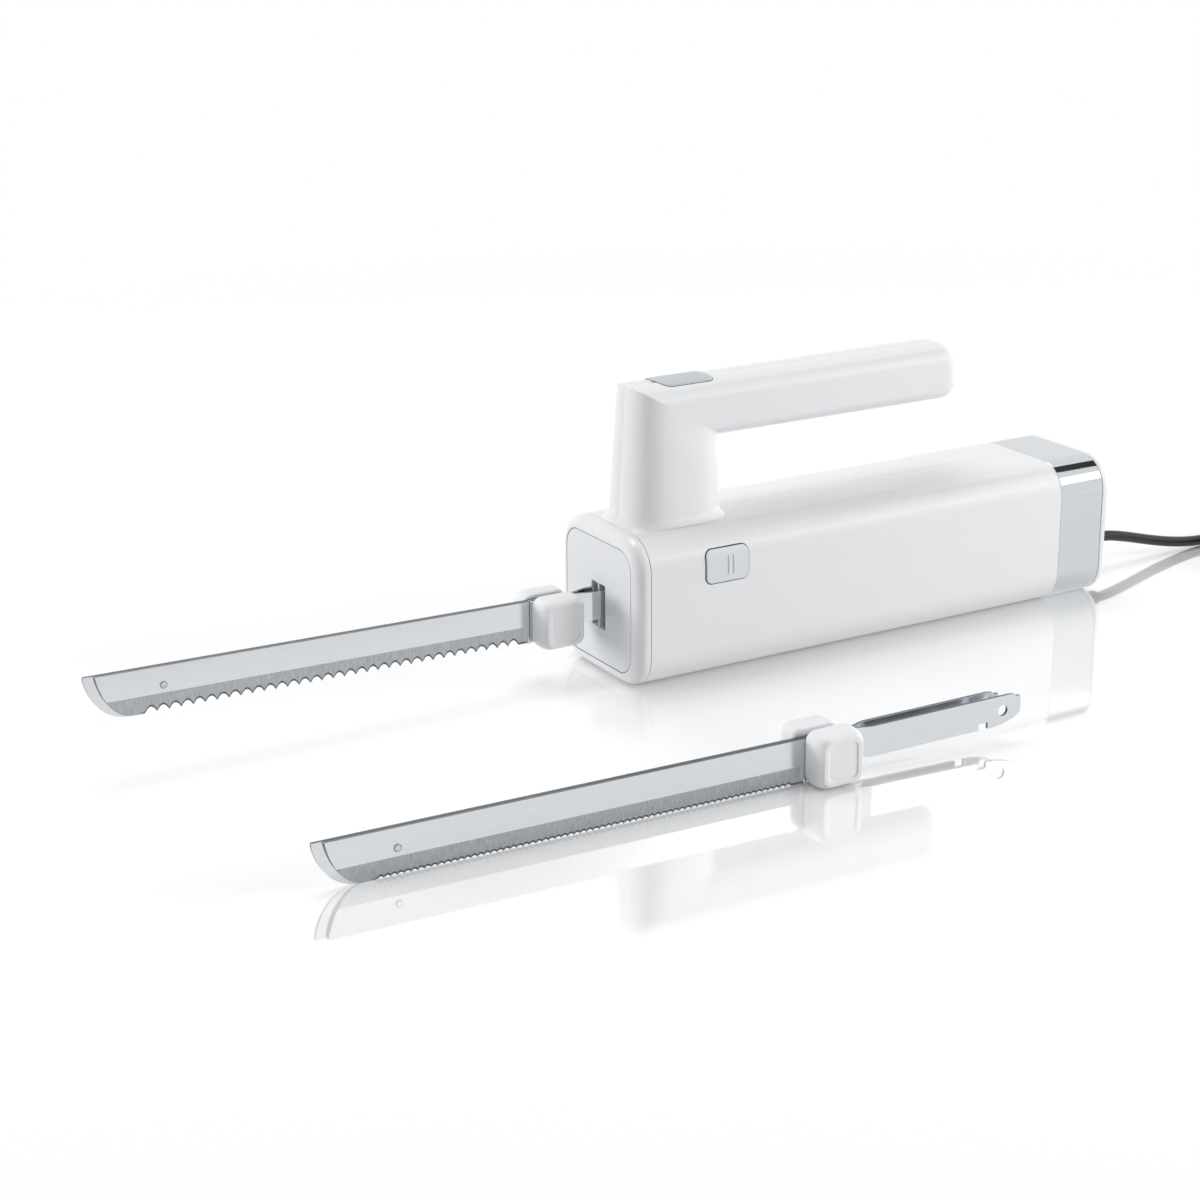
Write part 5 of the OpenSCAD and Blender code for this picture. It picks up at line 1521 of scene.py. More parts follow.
@dataclass
class Handle:
    """Pillar and grip in two shells that meet in a soft mitre."""

    base_z: float = 68.0
    front: float = 9.9
    lean: float = 4.0
    rear: float = 57.9
    foot_half: float = 18.0
    top_half: float = 15.15
    grip_z: float = 116.0
    grip_half_h: float = 13.2
    end: float = 188.2
    end_r: float = 9.5
    squareness: float = 3.0
    flare: float = 2.4
    flare_h: float = 5.0
    wall: float = 2.2
    sides: int = 52
    button: tuple[float, float, float, float] = (28.8, 54.9, 8.9, 3.5)
    button_slant: float = 1.6
    opening: Flat = (123.7, 132.0)
    gap: float = 0.3
    parting_depth: float = 0.3
    parting_half: float = 0.05
    foot_shares: tuple[float, ...] = (0, 0.06, 0.14, 0.26, 0.42, 0.62, 0.82, 1.0)
    mitre_r: Flat = (1.1, 0.35)
    mitre_run: Flat = (16.0, 15.0)

    def share_at(self, k: int) -> Flat:
        """Place round the section of corner k: up-down share and sideways share.

        Args:
            k: number of the corner.

        Returns:
            The two shares.
        """
        a = math.pi * k / self.sides
        power = 2 / self.squareness
        c = math.copysign(abs(math.cos(a)) ** power, math.cos(a))
        return c, abs(math.sin(a)) ** power

    def flare_at(self, z: float) -> float:
        """How far the pillar's foot spreads at height z."""
        s = (z - self.base_z) / self.flare_h
        return self.flare * max(0.0, 1 - s) ** 2.2

    def path(self, k: int, side: int, inset: float) -> list[Point]:
        """The line that corner k draws from the pillar's foot to the grip's end.

        Args:
            k: number of the corner, from the front and top round to the rear and underside.
            side: -1 for the near half, 1 for the far half.
            inset: how far inside the surface.

        Returns:
            The places along the line.
        """
        c, s = self.share_at(k)
        groove = self.parting_depth if inset == 0.0 and k in (0, self.sides) else 0.0
        top_z = self.grip_z + self.grip_half_h
        middle, half = (self.front + self.lean + self.rear) / 2, (self.rear - self.front - self.lean) / 2
        mitre_x = middle - (half - inset - groove) * c
        mitre_z = self.grip_z + (self.grip_half_h - inset - groove) * c
        width = self.top_half - inset
        r = lerp(*self.mitre_r, (c + 1) / 2)
        y_end = max(self.parting_half, s * width)
        line: list[Point] = []
        start, stop = self.base_z, mitre_z - r
        levels = [start + self.flare_h * v for v in self.foot_shares]
        levels += [lerp(start + self.flare_h, stop, v / 14) for v in range(1, 15)]
        for z in levels:
            grow = self.flare_at(z) - inset
            rise = (z - start) / (top_z - start)
            front = self.front + self.lean * rise
            mid, hx = (front + self.rear) / 2, (self.rear - front) / 2 + grow - groove
            near = smooth((z - (mitre_z - self.mitre_run[0])) / self.mitre_run[1])
            wide = lerp(lerp(self.foot_half, self.top_half, rise) + grow, width, near)
            line.append((mid - hx * c, side * max(self.parting_half, s * wide), z))
        line += [(mitre_x + r - back, side * y_end, stop + up) for up, back in arc(r, 11.25, 78.75, 7)]
        last = self.end - inset
        for v in range(23):
            line.append((lerp(mitre_x + r, last - self.end_r, smooth(v / 22) * 0.25 + v / 22 * 0.75),
                         side * y_end, mitre_z))
        for ahead, left in arc(self.end_r, 9, 90, 10):
            shrink = self.end_r - left
            line.append((last - self.end_r + ahead, side * max(self.parting_half, s * (width - shrink)),
                         self.grip_z + (self.grip_half_h - inset - groove - shrink) * c))
        return line

    def shell(self, side: int, paint: Paint) -> Piece:
        """One half of the handle.

        Args:
            side: -1 for the near half, 1 for the far half.
            paint: its finish.

        Returns:
            The piece.
        """
        skin = Skin()
        walls = []
        for inset in (0.0, self.wall):
            lines = [self.path(k, side, inset) for k in range(self.sides + 1)]
            rows = [skin.ring(line[i] for line in lines) for i in range(len(lines[0]))]
            for a, b in zip(rows, rows[1:]):
                skin.bridge(a, b, closed=False)
            skin.ladder(rows[-1])
            walls.append(rows)
        outer, inner = walls
        skin.bridge(outer[0], inner[0], closed=False)
        for k in (0, -1):
            skin.bridge([row[k] for row in outer], [row[k] for row in inner], closed=False)
        piece = skin.build("near_handle" if side < 0 else "far_handle", paint, 40.0)
        carve(piece, [self.button_cutter(paint)], 40.0)
        # The walls of the power button's opening get painted shade.
        x0, x1, half, _ = self.button
        middle = mm(FRONT_X + (x0 + x1) / 2, 0, self.opening[0] + 3.8)
        mark_gap_shade(piece, middle, mm((x1 - x0) / 2 + 1.5, half + 0.8, 3.7), 2)
        return piece

    def button_loop(self, grow: float) -> list[Flat]:
        """Outline of the power button, whose front edge is slightly slanted.

        Args:
            grow: how far outside the button.

        Returns:
            The corners.
        """
        x0, x1, half, r = self.button
        loop = rounded_loop(x1 - x0 + 2 * grow, 2 * (half + grow), r + grow, 10, 6)
        middle, slant = (x0 + x1) / 2, self.button_slant / 2
        return [(middle + u + slant * max(0.0, -u / (x1 - x0) * 2) * (-v / half), v) for u, v in loop]

    def button_cutter(self, paint: Paint) -> Piece:
        """The shape of the power button's opening."""
        loop = self.button_loop(self.gap)
        return loft("power_opening", [[(x, y, z) for x, y in loop] for z in self.opening], paint)

    def crown(self, y: float) -> float:
        """Height of the grip's top at a sideways place."""
        s = min(0.999, abs(y) / self.top_half)
        return self.grip_z + self.grip_half_h * (1 - s ** self.squareness) ** (1 / self.squareness)

    def build(self, paints: Paints) -> None:
        """Builds and dresses both halves.

        Args:
            paints: the finishes.
        """
        white = paints.of(Slot.WHITE_GLOSS)
        settle(self.shell(-1, white), "body", Slot.WHITE_GLOSS, "handle_left")
        settle(self.shell(1, white), "body", Slot.WHITE_GLOSS, "handle_right")


# Controls


def inset_loop(loop: Sequence[Flat], inset: float) -> list[Flat]:
    """Moves a loop's corners inwards along their own normals.

    Args:
        loop: the corners, counter-clockwise.
        inset: how far.

    Returns:
        The moved corners.
    """
    n = len(loop)
    moved = []
    for i in range(n):
        (ax, ay), (bx, by) = loop[i - 1], loop[(i + 1) % n]
        dx, dy = bx - ax, by - ay
        size = math.hypot(dx, dy) or 1.0
        moved.append((loop[i][0] - dy / size * inset, loop[i][1] + dx / size * inset))
    return moved


@dataclass
class Controls:
    """The power button on the grip and a release button on each side."""

    shell: BodyShell
    handle: Handle
    power_proud: float = 0.5
    release_proud: float = 0.6
    edge: float = 0.45
    edge_shares: tuple[Flat, ...] = ((0.0, 1.0), (0.08, 0.55), (0.3, 0.25), (0.65, 0.06), (1.0, 0.0))
    skirt: float = 3.0
    ridge_r: float = 0.5
    ridge_step: float = 2.6
    ridge_x: float = 47.8
    ridge_low: float = 47.5
    ridge_top: float = 56.5
    ridge_sunk: float = 0.12
    pale: Plastic = Plastic("Pale satin button", srgb("DEE1E4"), 0.22, 0.03, 0.01, 1500.0, 0.01, 0.6, 0.1)

    def cushion(self, skin: Skin, loop: Sequence[Flat], at: Callable[[float, float, float], Point]) -> None:
        """Adds a soft-edged button top with a skirt below it; the skirt gets painted shade.

        Args:
            skin: the mesh that grows.
            loop: the outline.
            at: gives the place of (u, v, height above the surface).
        """
        steps = [(0.0, -self.skirt)] + [(self.edge * i, -self.edge * d) for i, d in self.edge_shares]
        rows = [skin.ring(at(u, v, drop) for u, v in inset_loop(loop, i)) for i, drop in steps]
        # The skirt gets painted shade.
        for i, (a, b) in enumerate(zip(rows, rows[1:])):
            skin.bridge(a, b, zone=float(i < 1))
        skin.lid(rows[0])
        top = inset_loop(loop, self.edge)
        cu, cv = np.mean([p[0] for p in top]), np.mean([p[1] for p in top])
        last = rows[-1]
        for share in (0.9, 0.78, 0.62, 0.45, 0.28, 0.12):
            row = skin.ring(at(lerp(cu, u, share), lerp(cv, v, share), 0.0) for u, v in top)
            skin.bridge(last, row)
            last = row
        skin.lid(last)

    def power(self, paint: Paint) -> Piece:
        """The power button, which follows the grip's crown.

        Args:
            paint: its finish.

        Returns:
            The piece.
        """
        skin = Skin()
        self.cushion(skin, self.handle.button_loop(0.0),
                     lambda u, v, d: (u, v, self.handle.crown(v) + self.power_proud + d))
        return skin.build("power_key", paint)

    def side_y(self, z: float) -> float:
        """Distance of the body's side from its middle plane at height z.

        Args:
            z: the height.

        Returns:
            The distance.
        """
        s, r = self.shell, self.shell.edge_r
        over = max(0.0, z - (s.height - r))
        return s.width / 2 - r + math.sqrt(max(0.0, r * r - over * over))

    def release(self, side: int, paint: Paint) -> Piece:
        """A release button with two fine ridges.

        Args:
            side: -1 for the near side, 1 for the far side.
            paint: its finish.

        Returns:
            The piece.
        """
        w, h, r = self.shell.button_size
        cx, cz = self.shell.button_place
        loop = [(cx + u, cz + v) for u, v in rounded_loop(w, h, r, 10, 6)]
        skin = Skin()
        self.cushion(skin, loop, lambda u, v, d: (u, side * (self.side_y(v) + self.release_proud + d), v))
        base = skin.build("near_release_key" if side < 0 else "far_release_key", paint)
        ridges = [self.ridge(self.ridge_x + i * self.ridge_step / 2, side, paint) for i in (-1, 1)]
        return join([base, *ridges])

    def ridge(self, x: float, side: int, paint: Paint) -> Piece:
        """One upright ridge with rounded ends, sunk a little into a release button.

        Args:
            x: its place along the body.
            side: -1 for the near side, 1 for the far side.
            paint: its finish.

        Returns:
            The piece.
        """
        rings = []
        for z in np.linspace(self.ridge_low, self.ridge_top, 23):
            end = min(1.0, min(z - self.ridge_low, self.ridge_top - z) / self.ridge_r)
            r = self.ridge_r * math.sqrt(min(1.0, max(0.02, 1 - (1 - end) ** 2)))
            y = self.side_y(z) + self.release_proud - self.ridge_sunk
            rings.append([(x + u, side * (y + v), z) for u, v in circle(r, 12)])
        return loft("ridge", rings, paint)

    def build(self, paints: Paints) -> None:
        """Builds and dresses the three buttons.

        Args:
            paints: the finishes.
        """
        pale = self.pale.build()
        settle(self.power(paints.of(Slot.GREY_SATIN)), "power", Slot.GREY_SATIN, "power_button")
        settle(self.release(-1, pale), "near_release", Slot.GREY_SATIN, "near_release_button")
        settle(self.release(1, pale), "far_release", Slot.GREY_SATIN, "far_release_button")


# Blades and guards


class Side(Enum):
    """Which side of the pair a blade is on."""

    NEAR = -1
    FAR = 1


class Edge(Enum):
    """The two sorts of teeth: pitch, depth, roundness and steps a tooth."""

    SCALLOPED = (5.18, 2.5, 0.86, 16)
    FINE = (2.7, 0.8, 0.9, 8)


def scalloped_edge_group() -> bpy.types.NodeTree:
    """Raises a straight edge into a row of scallops with sharp points between them.

    Returns:
        The geometry node group.
    """
    name = "Scalloped edge"
    if name in bpy.data.node_groups:
        return bpy.data.node_groups[name]
    tree = bpy.data.node_groups.new(name, "GeometryNodeTree")
    tree.interface.new_socket("Blade", in_out="INPUT", socket_type="NodeSocketGeometry")
    for label in ("First tooth", "Pitch", "Teeth", "Depth", "Roundness", "Slope"):
        tree.interface.new_socket(label, in_out="INPUT", socket_type="NodeSocketFloat")
    tree.interface.new_socket("Steel", in_out="INPUT", socket_type="NodeSocketMaterial")
    tree.interface.new_socket("Blade", in_out="OUTPUT", socket_type="NodeSocketGeometry")
    t = Tree(tree)
    entry, leave = t.add("NodeGroupInput"), t.add("NodeGroupOutput")
    place_x = t.fed("ShaderNodeSeparateXYZ", t.add("GeometryNodeInputPosition").outputs[0])
    past_first = t.math("SUBTRACT", place_x, entry.outputs["First tooth"])
    along = t.math("DIVIDE", past_first, entry.outputs["Pitch"])
    wave = t.math("ABSOLUTE", t.math("SINE", t.math("MULTIPLY", along, math.pi)))
    arch = t.math("POWER", wave, entry.outputs["Roundness"])
    inside = t.math("MULTIPLY", t.math("GREATER_THAN", along, 0.0),
                    t.math("LESS_THAN", along, entry.outputs["Teeth"]))
    pull = t.add("GeometryNodeInputNamedAttribute", data_type="FLOAT")
    pull.inputs[0].default_value = "edge_pull"
    rise = t.math("MULTIPLY", t.math("MULTIPLY", arch, entry.outputs["Depth"]),
                  t.math("MULTIPLY", inside, pull.outputs[0]))
    shift = t.add("ShaderNodeCombineXYZ")
    t.link(t.math("MULTIPLY", rise, entry.outputs["Slope"]), shift.inputs[1])
    t.link(rise, shift.inputs[2])
    move = t.add("GeometryNodeSetPosition")
    t.link(entry.outputs["Blade"], move.inputs["Geometry"])
    t.link(shift.outputs[0], move.inputs["Offset"])
    steel = t.add("GeometryNodeSetMaterial")
    t.link(t.fed("GeometryNodeRealizeInstances", move.outputs[0]), steel.inputs["Geometry"])
    t.link(entry.outputs["Steel"], steel.inputs["Material"])
    t.link(steel.outputs[0], leave.inputs[0])
    return tree


def with_nodes(piece: Piece, tree: bpy.types.NodeTree, values: dict[str, object]) -> Piece:
    """Runs a geometry node group on a piece and keeps the plain mesh.

    Args:
        piece: the object.
        tree: the node group.
        values: its inputs by name.

    Returns:
        The same object.
    """
    step = piece.modifiers.new(tree.name, "NODES")
    step.node_group = tree
    for item in tree.interface.items_tree:
        if item.item_type == "SOCKET" and item.in_out == "INPUT" and item.name in values:
            step[item.identifier] = values[item.name]
    return baked(piece)


@dataclass
class BladePair:
    """Two toothed blades that lie back to back, joined near the tip by a rivet."""

    edge: Edge = Edge.SCALLOPED
    extra: float = 0.0
    far_tip: float = 236.1
    tip_step: float = 4.5
    height: float = 19.4
    thickness: float = 1.4
    gap: float = 0.2
    spine: float = 40.0
    rise: float = 0.9
    bevel_h: float = 7.9
    edge_t: float = 0.3
    smooth_tip: float = 20.0
    guard_front: float = 38.0
    guard_edge: float = 34.7
    heel: float = -35.6
    tang_h: float = 13.0
    tang_z: float = 33.0
    tang_y: float = 3.2
    tang_in: float = 65.0
    spare_tang: Flat = (3.3, -3.2)
    bend: Flat = (-14.0, -4.0)
    facet: float = 1.0
    rivet_back: float = 28.2
    rivet_head_r: float = 1.6
    rivet_r: float = 1.02
    rivet_slot_r: float = 1.2
    rivet_low: float = 0.42
    hole_r: float = 2.35
    hole_back: float = 9.0
    crank: float = 4.5
    blade_sharp: float = 12.0
    tang_sharp: float = 14.0
    rim: float = 0.12
    spine_rim: float = 0.2
    plain_edge: float = 0.14
    tip_gap: float = 0.3
    no_bevel: float = 0.2
    tang_zone: float = 0.45
    # How strongly the rivet heads' rims are painted with shade.
    rivet_shade: float = 0.55
    near_tip_curve: tuple[Flat, ...] = ((0, 0.02), (0.02, 0.12), (0.06, 0.27), (0.14, 0.48), (0.26, 0.68),
                                        (0.4, 0.84), (0.56, 0.95), (0.72, 0.995), (0.88, 1))
    far_tip_curve: tuple[Flat, ...] = ((0, 0.02), (0.005, 0.1), (0.05, 0.28), (0.13, 0.47), (0.25, 0.66),
                                       (0.4, 0.82), (0.58, 0.93), (0.76, 0.99), (0.96, 1))

    def tip_of(self, side: Side) -> float:
        """Distance of a blade's tip in front of the body."""
        return self.far_tip + self.extra - (self.tip_step if side is Side.NEAR else 0.0)

    def lift(self, x: float) -> float:
        """Rise of the blades in front of the guards."""
        return max(0.0, -self.guard_front - x) * math.tan(math.radians(self.rise))

    def tip_stations(self, side: Side) -> list[Flat]:
        """Stations along the rounded tip, as (x, drop of the edge below the spine).

        Args:
            side: which of the pair.

        Returns:
            The stations, from the tip backwards.
        """
        curve = self.near_tip_curve if side is Side.NEAR else self.far_tip_curve
        fine = catmull([Vector((a, b, 0)) for a, b in curve], 6)
        tip = self.tip_of(side)
        return [(-tip + p.x * self.height, min(1.0, p.y) * self.height) for p in fine]

    def tooth_row(self, side: Side) -> tuple[float, int]:
        """Where the teeth start, and how many there are.

        Args:
            side: which of the pair.

        Returns:
            The start and the number of teeth.
        """
        pitch = self.edge.value[0]
        start = -self.tip_of(side) + self.smooth_tip
        return start, int((-self.guard_edge - 4.0 - start) // pitch)

    def stations(self, side: Side) -> list[Flat]:
        """Every station along the blade, as (x, drop of the straight edge).

        Args:
            side: which of the pair.

        Returns:
            The stations, from the tip to the heel.
        """
        pitch, steps = self.edge.value[0], self.edge.value[3]
        start, count = self.tooth_row(side)
        row = self.tip_stations(side)
        row = [p for p in row if p[0] < start - 0.2]
        row += [(start + pitch * i / steps, self.height) for i in range(count * steps + 1)]
        last = row[-1][0]
        row += [(lerp(last, self.heel, i / 14), self.height) for i in range(1, 15)]
        return row

    def bevel_top(self, x: float) -> float:
        """Height of the ground edge's line above the tooth points; it runs out before the guard.

        Args:
            x: place along the blade.

        Returns:
            The height.
        """
        stop = -self.guard_edge - 1.6
        left = (stop - x) / 2.6
        return self.bevel_h * math.sqrt(1 - (1 - min(1.0, left)) ** 2) if left > 0 else 0.0

    def blade(self, side: Side, steel: Paint) -> Piece:
        """One blade with its ground edge, teeth and bent tang.

        Args:
            side: which of the pair.
            steel: its finish.

        Returns:
            The blade, in front-face places.
        """
        sign = float(side.value)
        face, back = self.gap / 2 + self.thickness, self.gap / 2
        slope = (self.thickness - self.edge_t) / self.bevel_h
        skin, pulls = Skin(), []
        rows: list[list[int]] = []
        start = self.tooth_row(side)[0]
        for x, drop in self.stations(side):
            top = self.spine + self.lift(x)
            low, base = top - drop, top - self.height
            bevel = self.bevel_top(x)
            line = min(max(base + bevel, low + 0.05), top - self.tip_gap)
            toothed = x >= start - self.tip_gap and bevel > self.facet + self.tip_gap
            chamfer = self.facet if toothed else self.plain_edge

            def depth(z: float) -> float:
                """Distance of the front surface from the middle plane.

                Args:
                    z: the height.

                Returns:
                    The distance.
                """
                if z >= base + bevel or bevel <= self.no_bevel:
                    return face
                return min(face, back + self.edge_t + slope * (z - base) * self.bevel_h / bevel)

            lip = min(low + chamfer, top - self.tip_gap - 0.02)
            edge_y = back + self.rim if toothed else max(back + 0.1, depth(lip) - 0.13)
            ring: list[Point] = [(back, low, 1.0), (edge_y, low, 1.0), (depth(lip), lip, 1.0)]
            knee = max(line, lip + 0.02)
            for s in (0.25, 0.5, 0.75, 1.0):
                z = lerp(lip, knee, s)
                ring.append((depth(z) if s < 1 else depth(max(z, base + bevel)), z, 1.0 - s))
            ring += [(face, lerp(knee, top - self.spine_rim, s), 0.0) for s in (0.5, 1.0)]
            ring += [(face - 0.05, top - 0.06, 0.0), (face - self.spine_rim, top, 0.0),
                     (back + self.rim, top, 0.0), (back, top - 0.1, 0.0)]
            rows.append(skin.ring((x, sign * y, z) for y, z, _ in ring))
            pulls += [p if toothed else 0.0 for _, _, p in ring]
        # The edge's facet and the spine get the dark rim zone, partly painted shade.
        zones = [SHADED_RIM] * 2 + [BEVEL] * 4 + [FACE] * 2 + [SHADED_RIM] * 4 + [FACE]
        for a, b in zip(rows, rows[1:]):
            plain = self.bevel_top(skin.corners[a[0]][0]) <= self.no_bevel
            for i, zone in enumerate(zones):
                k = (i + 1) % len(a)
                skin.face(a[i], a[k], b[k], b[i], zone=FACE if plain and zone == BEVEL else zone)
        skin.lid(rows[0])
        skin.lid(rows[-1])
        mesh = bpy.data.meshes.new("blade")
        mesh.from_pydata([mm(*c) for c in skin.corners], [], skin.faces)
        ground = mesh.attributes.new("zone", "FLOAT", "FACE")
        ground.data.foreach_set("value", skin.zones)
        pull = mesh.attributes.new("edge_pull", "FLOAT", "POINT")
        pull.data.foreach_set("value", pulls + [0.0] * (len(skin.corners) - len(pulls)))
        name = f"{'near' if side is Side.NEAR else 'far'}_{'spare' if self.extra else 'blade'}_steel"
        piece = bpy.data.objects.new(name, mesh)
        bpy.context.scene.collection.objects.link(piece)
        pitch, tooth_depth, roundness, _ = self.edge.value
        first, count = self.tooth_row(side)
        with_nodes(piece, scalloped_edge_group(), {
            "First tooth": first * MM, "Pitch": pitch * MM, "Teeth": float(count),
            "Depth": tooth_depth * MM, "Roundness": roundness, "Slope": sign * slope, "Steel": steel})
        tidy_mesh(piece.data, self.blade_sharp, FINE_MERGE)
        carve(piece, [self.rivet_opening(side, steel)], self.blade_sharp)
        return join([piece, self.tang(side, steel)])

    def rivet_place(self) -> Flat:
        """Place of the rivet, as (x, z)."""
        x = -(self.far_tip + self.extra) + self.rivet_back + self.tip_step
        return x, self.spine - self.rivet_low * self.height + self.lift(x)

    def rivet_opening(self, side: Side, steel: Paint) -> Piece:
        """The rivet's round hole in the near blade, or its slot in the far one.

        Args:
            side: which of the pair.
            steel: its finish.

        Returns:
            The cutter.
        """
        x, z = self.rivet_place()
        if side is Side.NEAR:
            rings = lathe_y([(0.0, self.rivet_r), (-3.0, self.rivet_r)], x, z, 24)
        else:
            run, high = 2 * self.crank + 1.2, 2 * self.rivet_slot_r
            loop = rounded_loop(2 * run + high, high, self.rivet_slot_r - 0.01, 8)
            rings = [[(x + u, y, z + v) for u, v in loop] for y in (0.0, 3.0)]
        return to_front(loft("rivet_opening", rings, steel))

    def tang(self, side: Side, steel: Paint) -> Piece:
        """The tang: a bent strip with a catch hole, a notch and a stepped end.

        Args:
            side: which of the pair.
            steel: its finish.

        Returns:
            The piece.
        """
        sign, end = float(side.value), self.tang_in
        if self.extra:
            end += self.spare_tang[0 if side is Side.NEAR else 1]
        low, top = self.tang_z - self.tang_h / 2, self.tang_z + self.tang_h / 2
        neck, root = -18.5, self.heel + 0.4
        outline: list[Flat] = [
            (root, self.spine - self.height + 0.2), (neck, low), (end - 21, low), (end - 21, low + 2.8),
            (end - 16.6, low + 2.8), (end - 16.6, low), (end - 13.0, low + 0.05), (end - 9.0, low + 0.55),
            (end - 4.4, low + 1.9), (end - 0.4, low + 4.0), (end, low + 4.5), (end, top - 1.7),
            (end - 0.4, top - 1.4), (end - 2.3, top - 1.4), (end - 2.7, top - 1.1), (end - 3.4, top - 0.35),
            (end - 6.0, top), (neck, top), (root, self.spine)]
        skin = Skin()
        rows = [skin.ring((x, y, z) for x, z in outline) for y in (-self.thickness / 2, self.thickness / 2)]
        skin.bridge(rows[0], rows[1])
        skin.face(*rows[0])
        skin.face(*rows[1])
        piece = skin.build("tang", steel)
        hole = lathe_y([(-3.0, self.hole_r), (3.0, self.hole_r)], end - self.hole_back, self.tang_z, 40)
        carve(piece, [loft("catch_opening", hole, steel)])
        bm = bmesh.new()
        bm.from_mesh(piece.data)
        for x in np.arange(self.bend[0], self.bend[1] + 0.1, 0.5):
            everything = [*bm.verts, *bm.edges, *bm.faces]
            bmesh.ops.bisect_plane(bm, geom=everything, plane_co=mm(FRONT_X + x, 0, 0), plane_no=(1, 0, 0))
        start = self.gap / 2 + self.thickness / 2
        for vert in bm.verts:
            x = vert.co.x / MM - FRONT_X
            share = smooth((x - self.bend[0]) / (self.bend[1] - self.bend[0]))
            vert.co.y += sign * lerp(start, self.tang_y, share) * MM
        bm.to_mesh(piece.data)
        bm.free()
        rim = piece.modifiers.new("Soft rim", "BEVEL")
        rim.width, rim.segments = self.rim * MM, 2
        rim.limit_method, rim.angle_limit = "ANGLE", math.radians(50)
        baked(piece)
        tidy_mesh(piece.data, self.tang_sharp, FINE_MERGE)
        zone = piece.data.attributes.get("zone") or piece.data.attributes.new("zone", "FLOAT", "FACE")
        for face in piece.data.polygons:
            # The tang's thin edges get the dark rim zone, partly painted shade.
            zone.data[face.index].value = SHADED_RIM if abs(face.normal[1]) < 0.5 else self.tang_zone
        return to_front(piece)

    def rivet(self, steel: Paint) -> Piece:
        """The rivet with a domed, dimpled head on the near face and a flat one behind, with painted shade
        round the heads' rims.

        Args:
            steel: its finish.

        Returns:
            The piece.
        """
        x, z = self.rivet_place()
        face = self.gap / 2 + self.thickness
        r = self.rivet_head_r
        profile = [(-face - 0.46, POINT_R), (-face - 0.5, 0.35), (-face - 0.56, 0.7), (-face - 0.58, 0.9),
                   (-face - 0.56, r - 0.5), (-face - 0.4, r - 0.12), (-face - 0.2, r), (-face, r),
                   (-face, 1.0), (face + 0.15, 1.0), (face + 0.15, r), (face + 0.55, r),
                   (face + 0.75, r - 0.2), (face + 0.75, POINT_R)]
        rings = lathe_y(profile, x, z, 36)
        # The heads' rims get painted shade.
        return to_front(loft("rivet", rings, steel, 40.0, dark=(4, 5, 6, 10), mark=self.rivet_shade))


@dataclass
class Guard:
    """Soft white guard on the outside of a blade, with a sunk square on its face."""

    front: float = 36.2
    rear: float = 14.3
    low: float = 20.5
    height: float = 22.9
    inner: float = 1.5
    thickness: float = 12.0
    corner: float = 4.4
    panel: tuple[float, float, float] = (13.6, 15.0, 2.4)
    panel_depth: float = 0.4
    flat: float = 0.42
    fall: float = 2.5
    face_rim: Flat = (0.6, 0.7)
    far_shift: float = 3.2

    def section(self) -> list[Flat]:
        """Steps from the blade outwards, as (distance from the inner face, inset).

        Returns:
            The steps, in order.
        """
        steps = [(0.0, 1.0), (0.3, 0.55), (0.9, 0.18), (1.8, 0.0)]
        run = self.thickness * (1 - self.flat) - self.face_rim[0]
        start = self.thickness * self.flat
        steps += [(start + run * s, self.fall * (1 - math.sqrt(1 - (s * 0.98) ** 2)) * 0.8)
                  for s in np.linspace(0.0, 1.0, 12)]
        last = steps[-1][1]
        deep, wide = self.face_rim
        steps += [(self.thickness - deep + deep * s, last + wide * (1 - c)) for s, c in arc(1.0, 18, 90, 5)]
        return steps

    def build(self, side: Side, name: str, paint: Paint) -> Piece:
        """Builds one guard in front-face places.

        Args:
            side: which blade it is on.
            name: the piece's name.
            paint: its finish.

        Returns:
            The guard.
        """
        sign = float(side.value)
        w, cx, cz = self.front - self.rear, -(self.front + self.rear) / 2, self.low + self.height / 2
        cx -= self.far_shift if side is Side.FAR else 0.0
        skin = Skin()

        def row(wide: float, high: float, r: float, y: float) -> list[int]:
            """Adds one rounded ring at distance y."""
            return skin.ring((cx + u, sign * y, cz + v) for u, v in rounded_loop(wide, high, r, 10, 4))

        rows = [row(w - 2 * i, self.height - 2 * i, self.corner - 0.3 * i, self.inner + d)
                for d, i in self.section()]
        pw, ph, pr = self.panel
        out = self.inner + self.thickness
        for grow, drop in ((0.9, 0.0), (0.35, 0.0), (0.16, 0.04), (0.04, 0.14), (0.0, 0.26), (-0.12, 0.36),
                           (-0.35, self.panel_depth), (-0.9, self.panel_depth)):
            rows.append(row(pw + 2 * grow, ph + 2 * grow, pr + grow, out - drop))
        for a, b in zip(rows, rows[1:]):
            skin.bridge(a, b)
        skin.lid(rows[0])
        skin.lid(rows[-1])
        return to_front(skin.build(name, paint, 50.0))


@dataclass
class SparePlace:
    """Where the spare pair stands: on its guards' corners and its blades' tips."""

    x: float = 7.4
    y: float = -151.0
    turn: float = 2.1
    extra: float = 8.0
    rest_front: float = 38.0
    rest_low: float = 20.5
    rest_corner: float = 4.4

    def matrix(self, pair: BladePair) -> Matrix:
        """Turn and shift of the spare pair, in metres from the body's front face.

        Args:
            pair: the spare blades.

        Returns:
            The place.
        """
        heel = pair.far_tip + self.extra - pair.height
        tip_low = pair.lift(-heel) + pair.spine - pair.height - self.rest_low
        lean = math.atan(tip_low / (heel - self.rest_front))
        return (Matrix.Translation(mm(self.x, self.y, 0)) @ Matrix.Rotation(-math.radians(self.turn), 4, "Z")
                @ Matrix.Rotation(-lean, 4, "Y")
                @ Matrix.Translation(mm(self.rest_front - self.rest_corner, 0, -self.rest_low)))


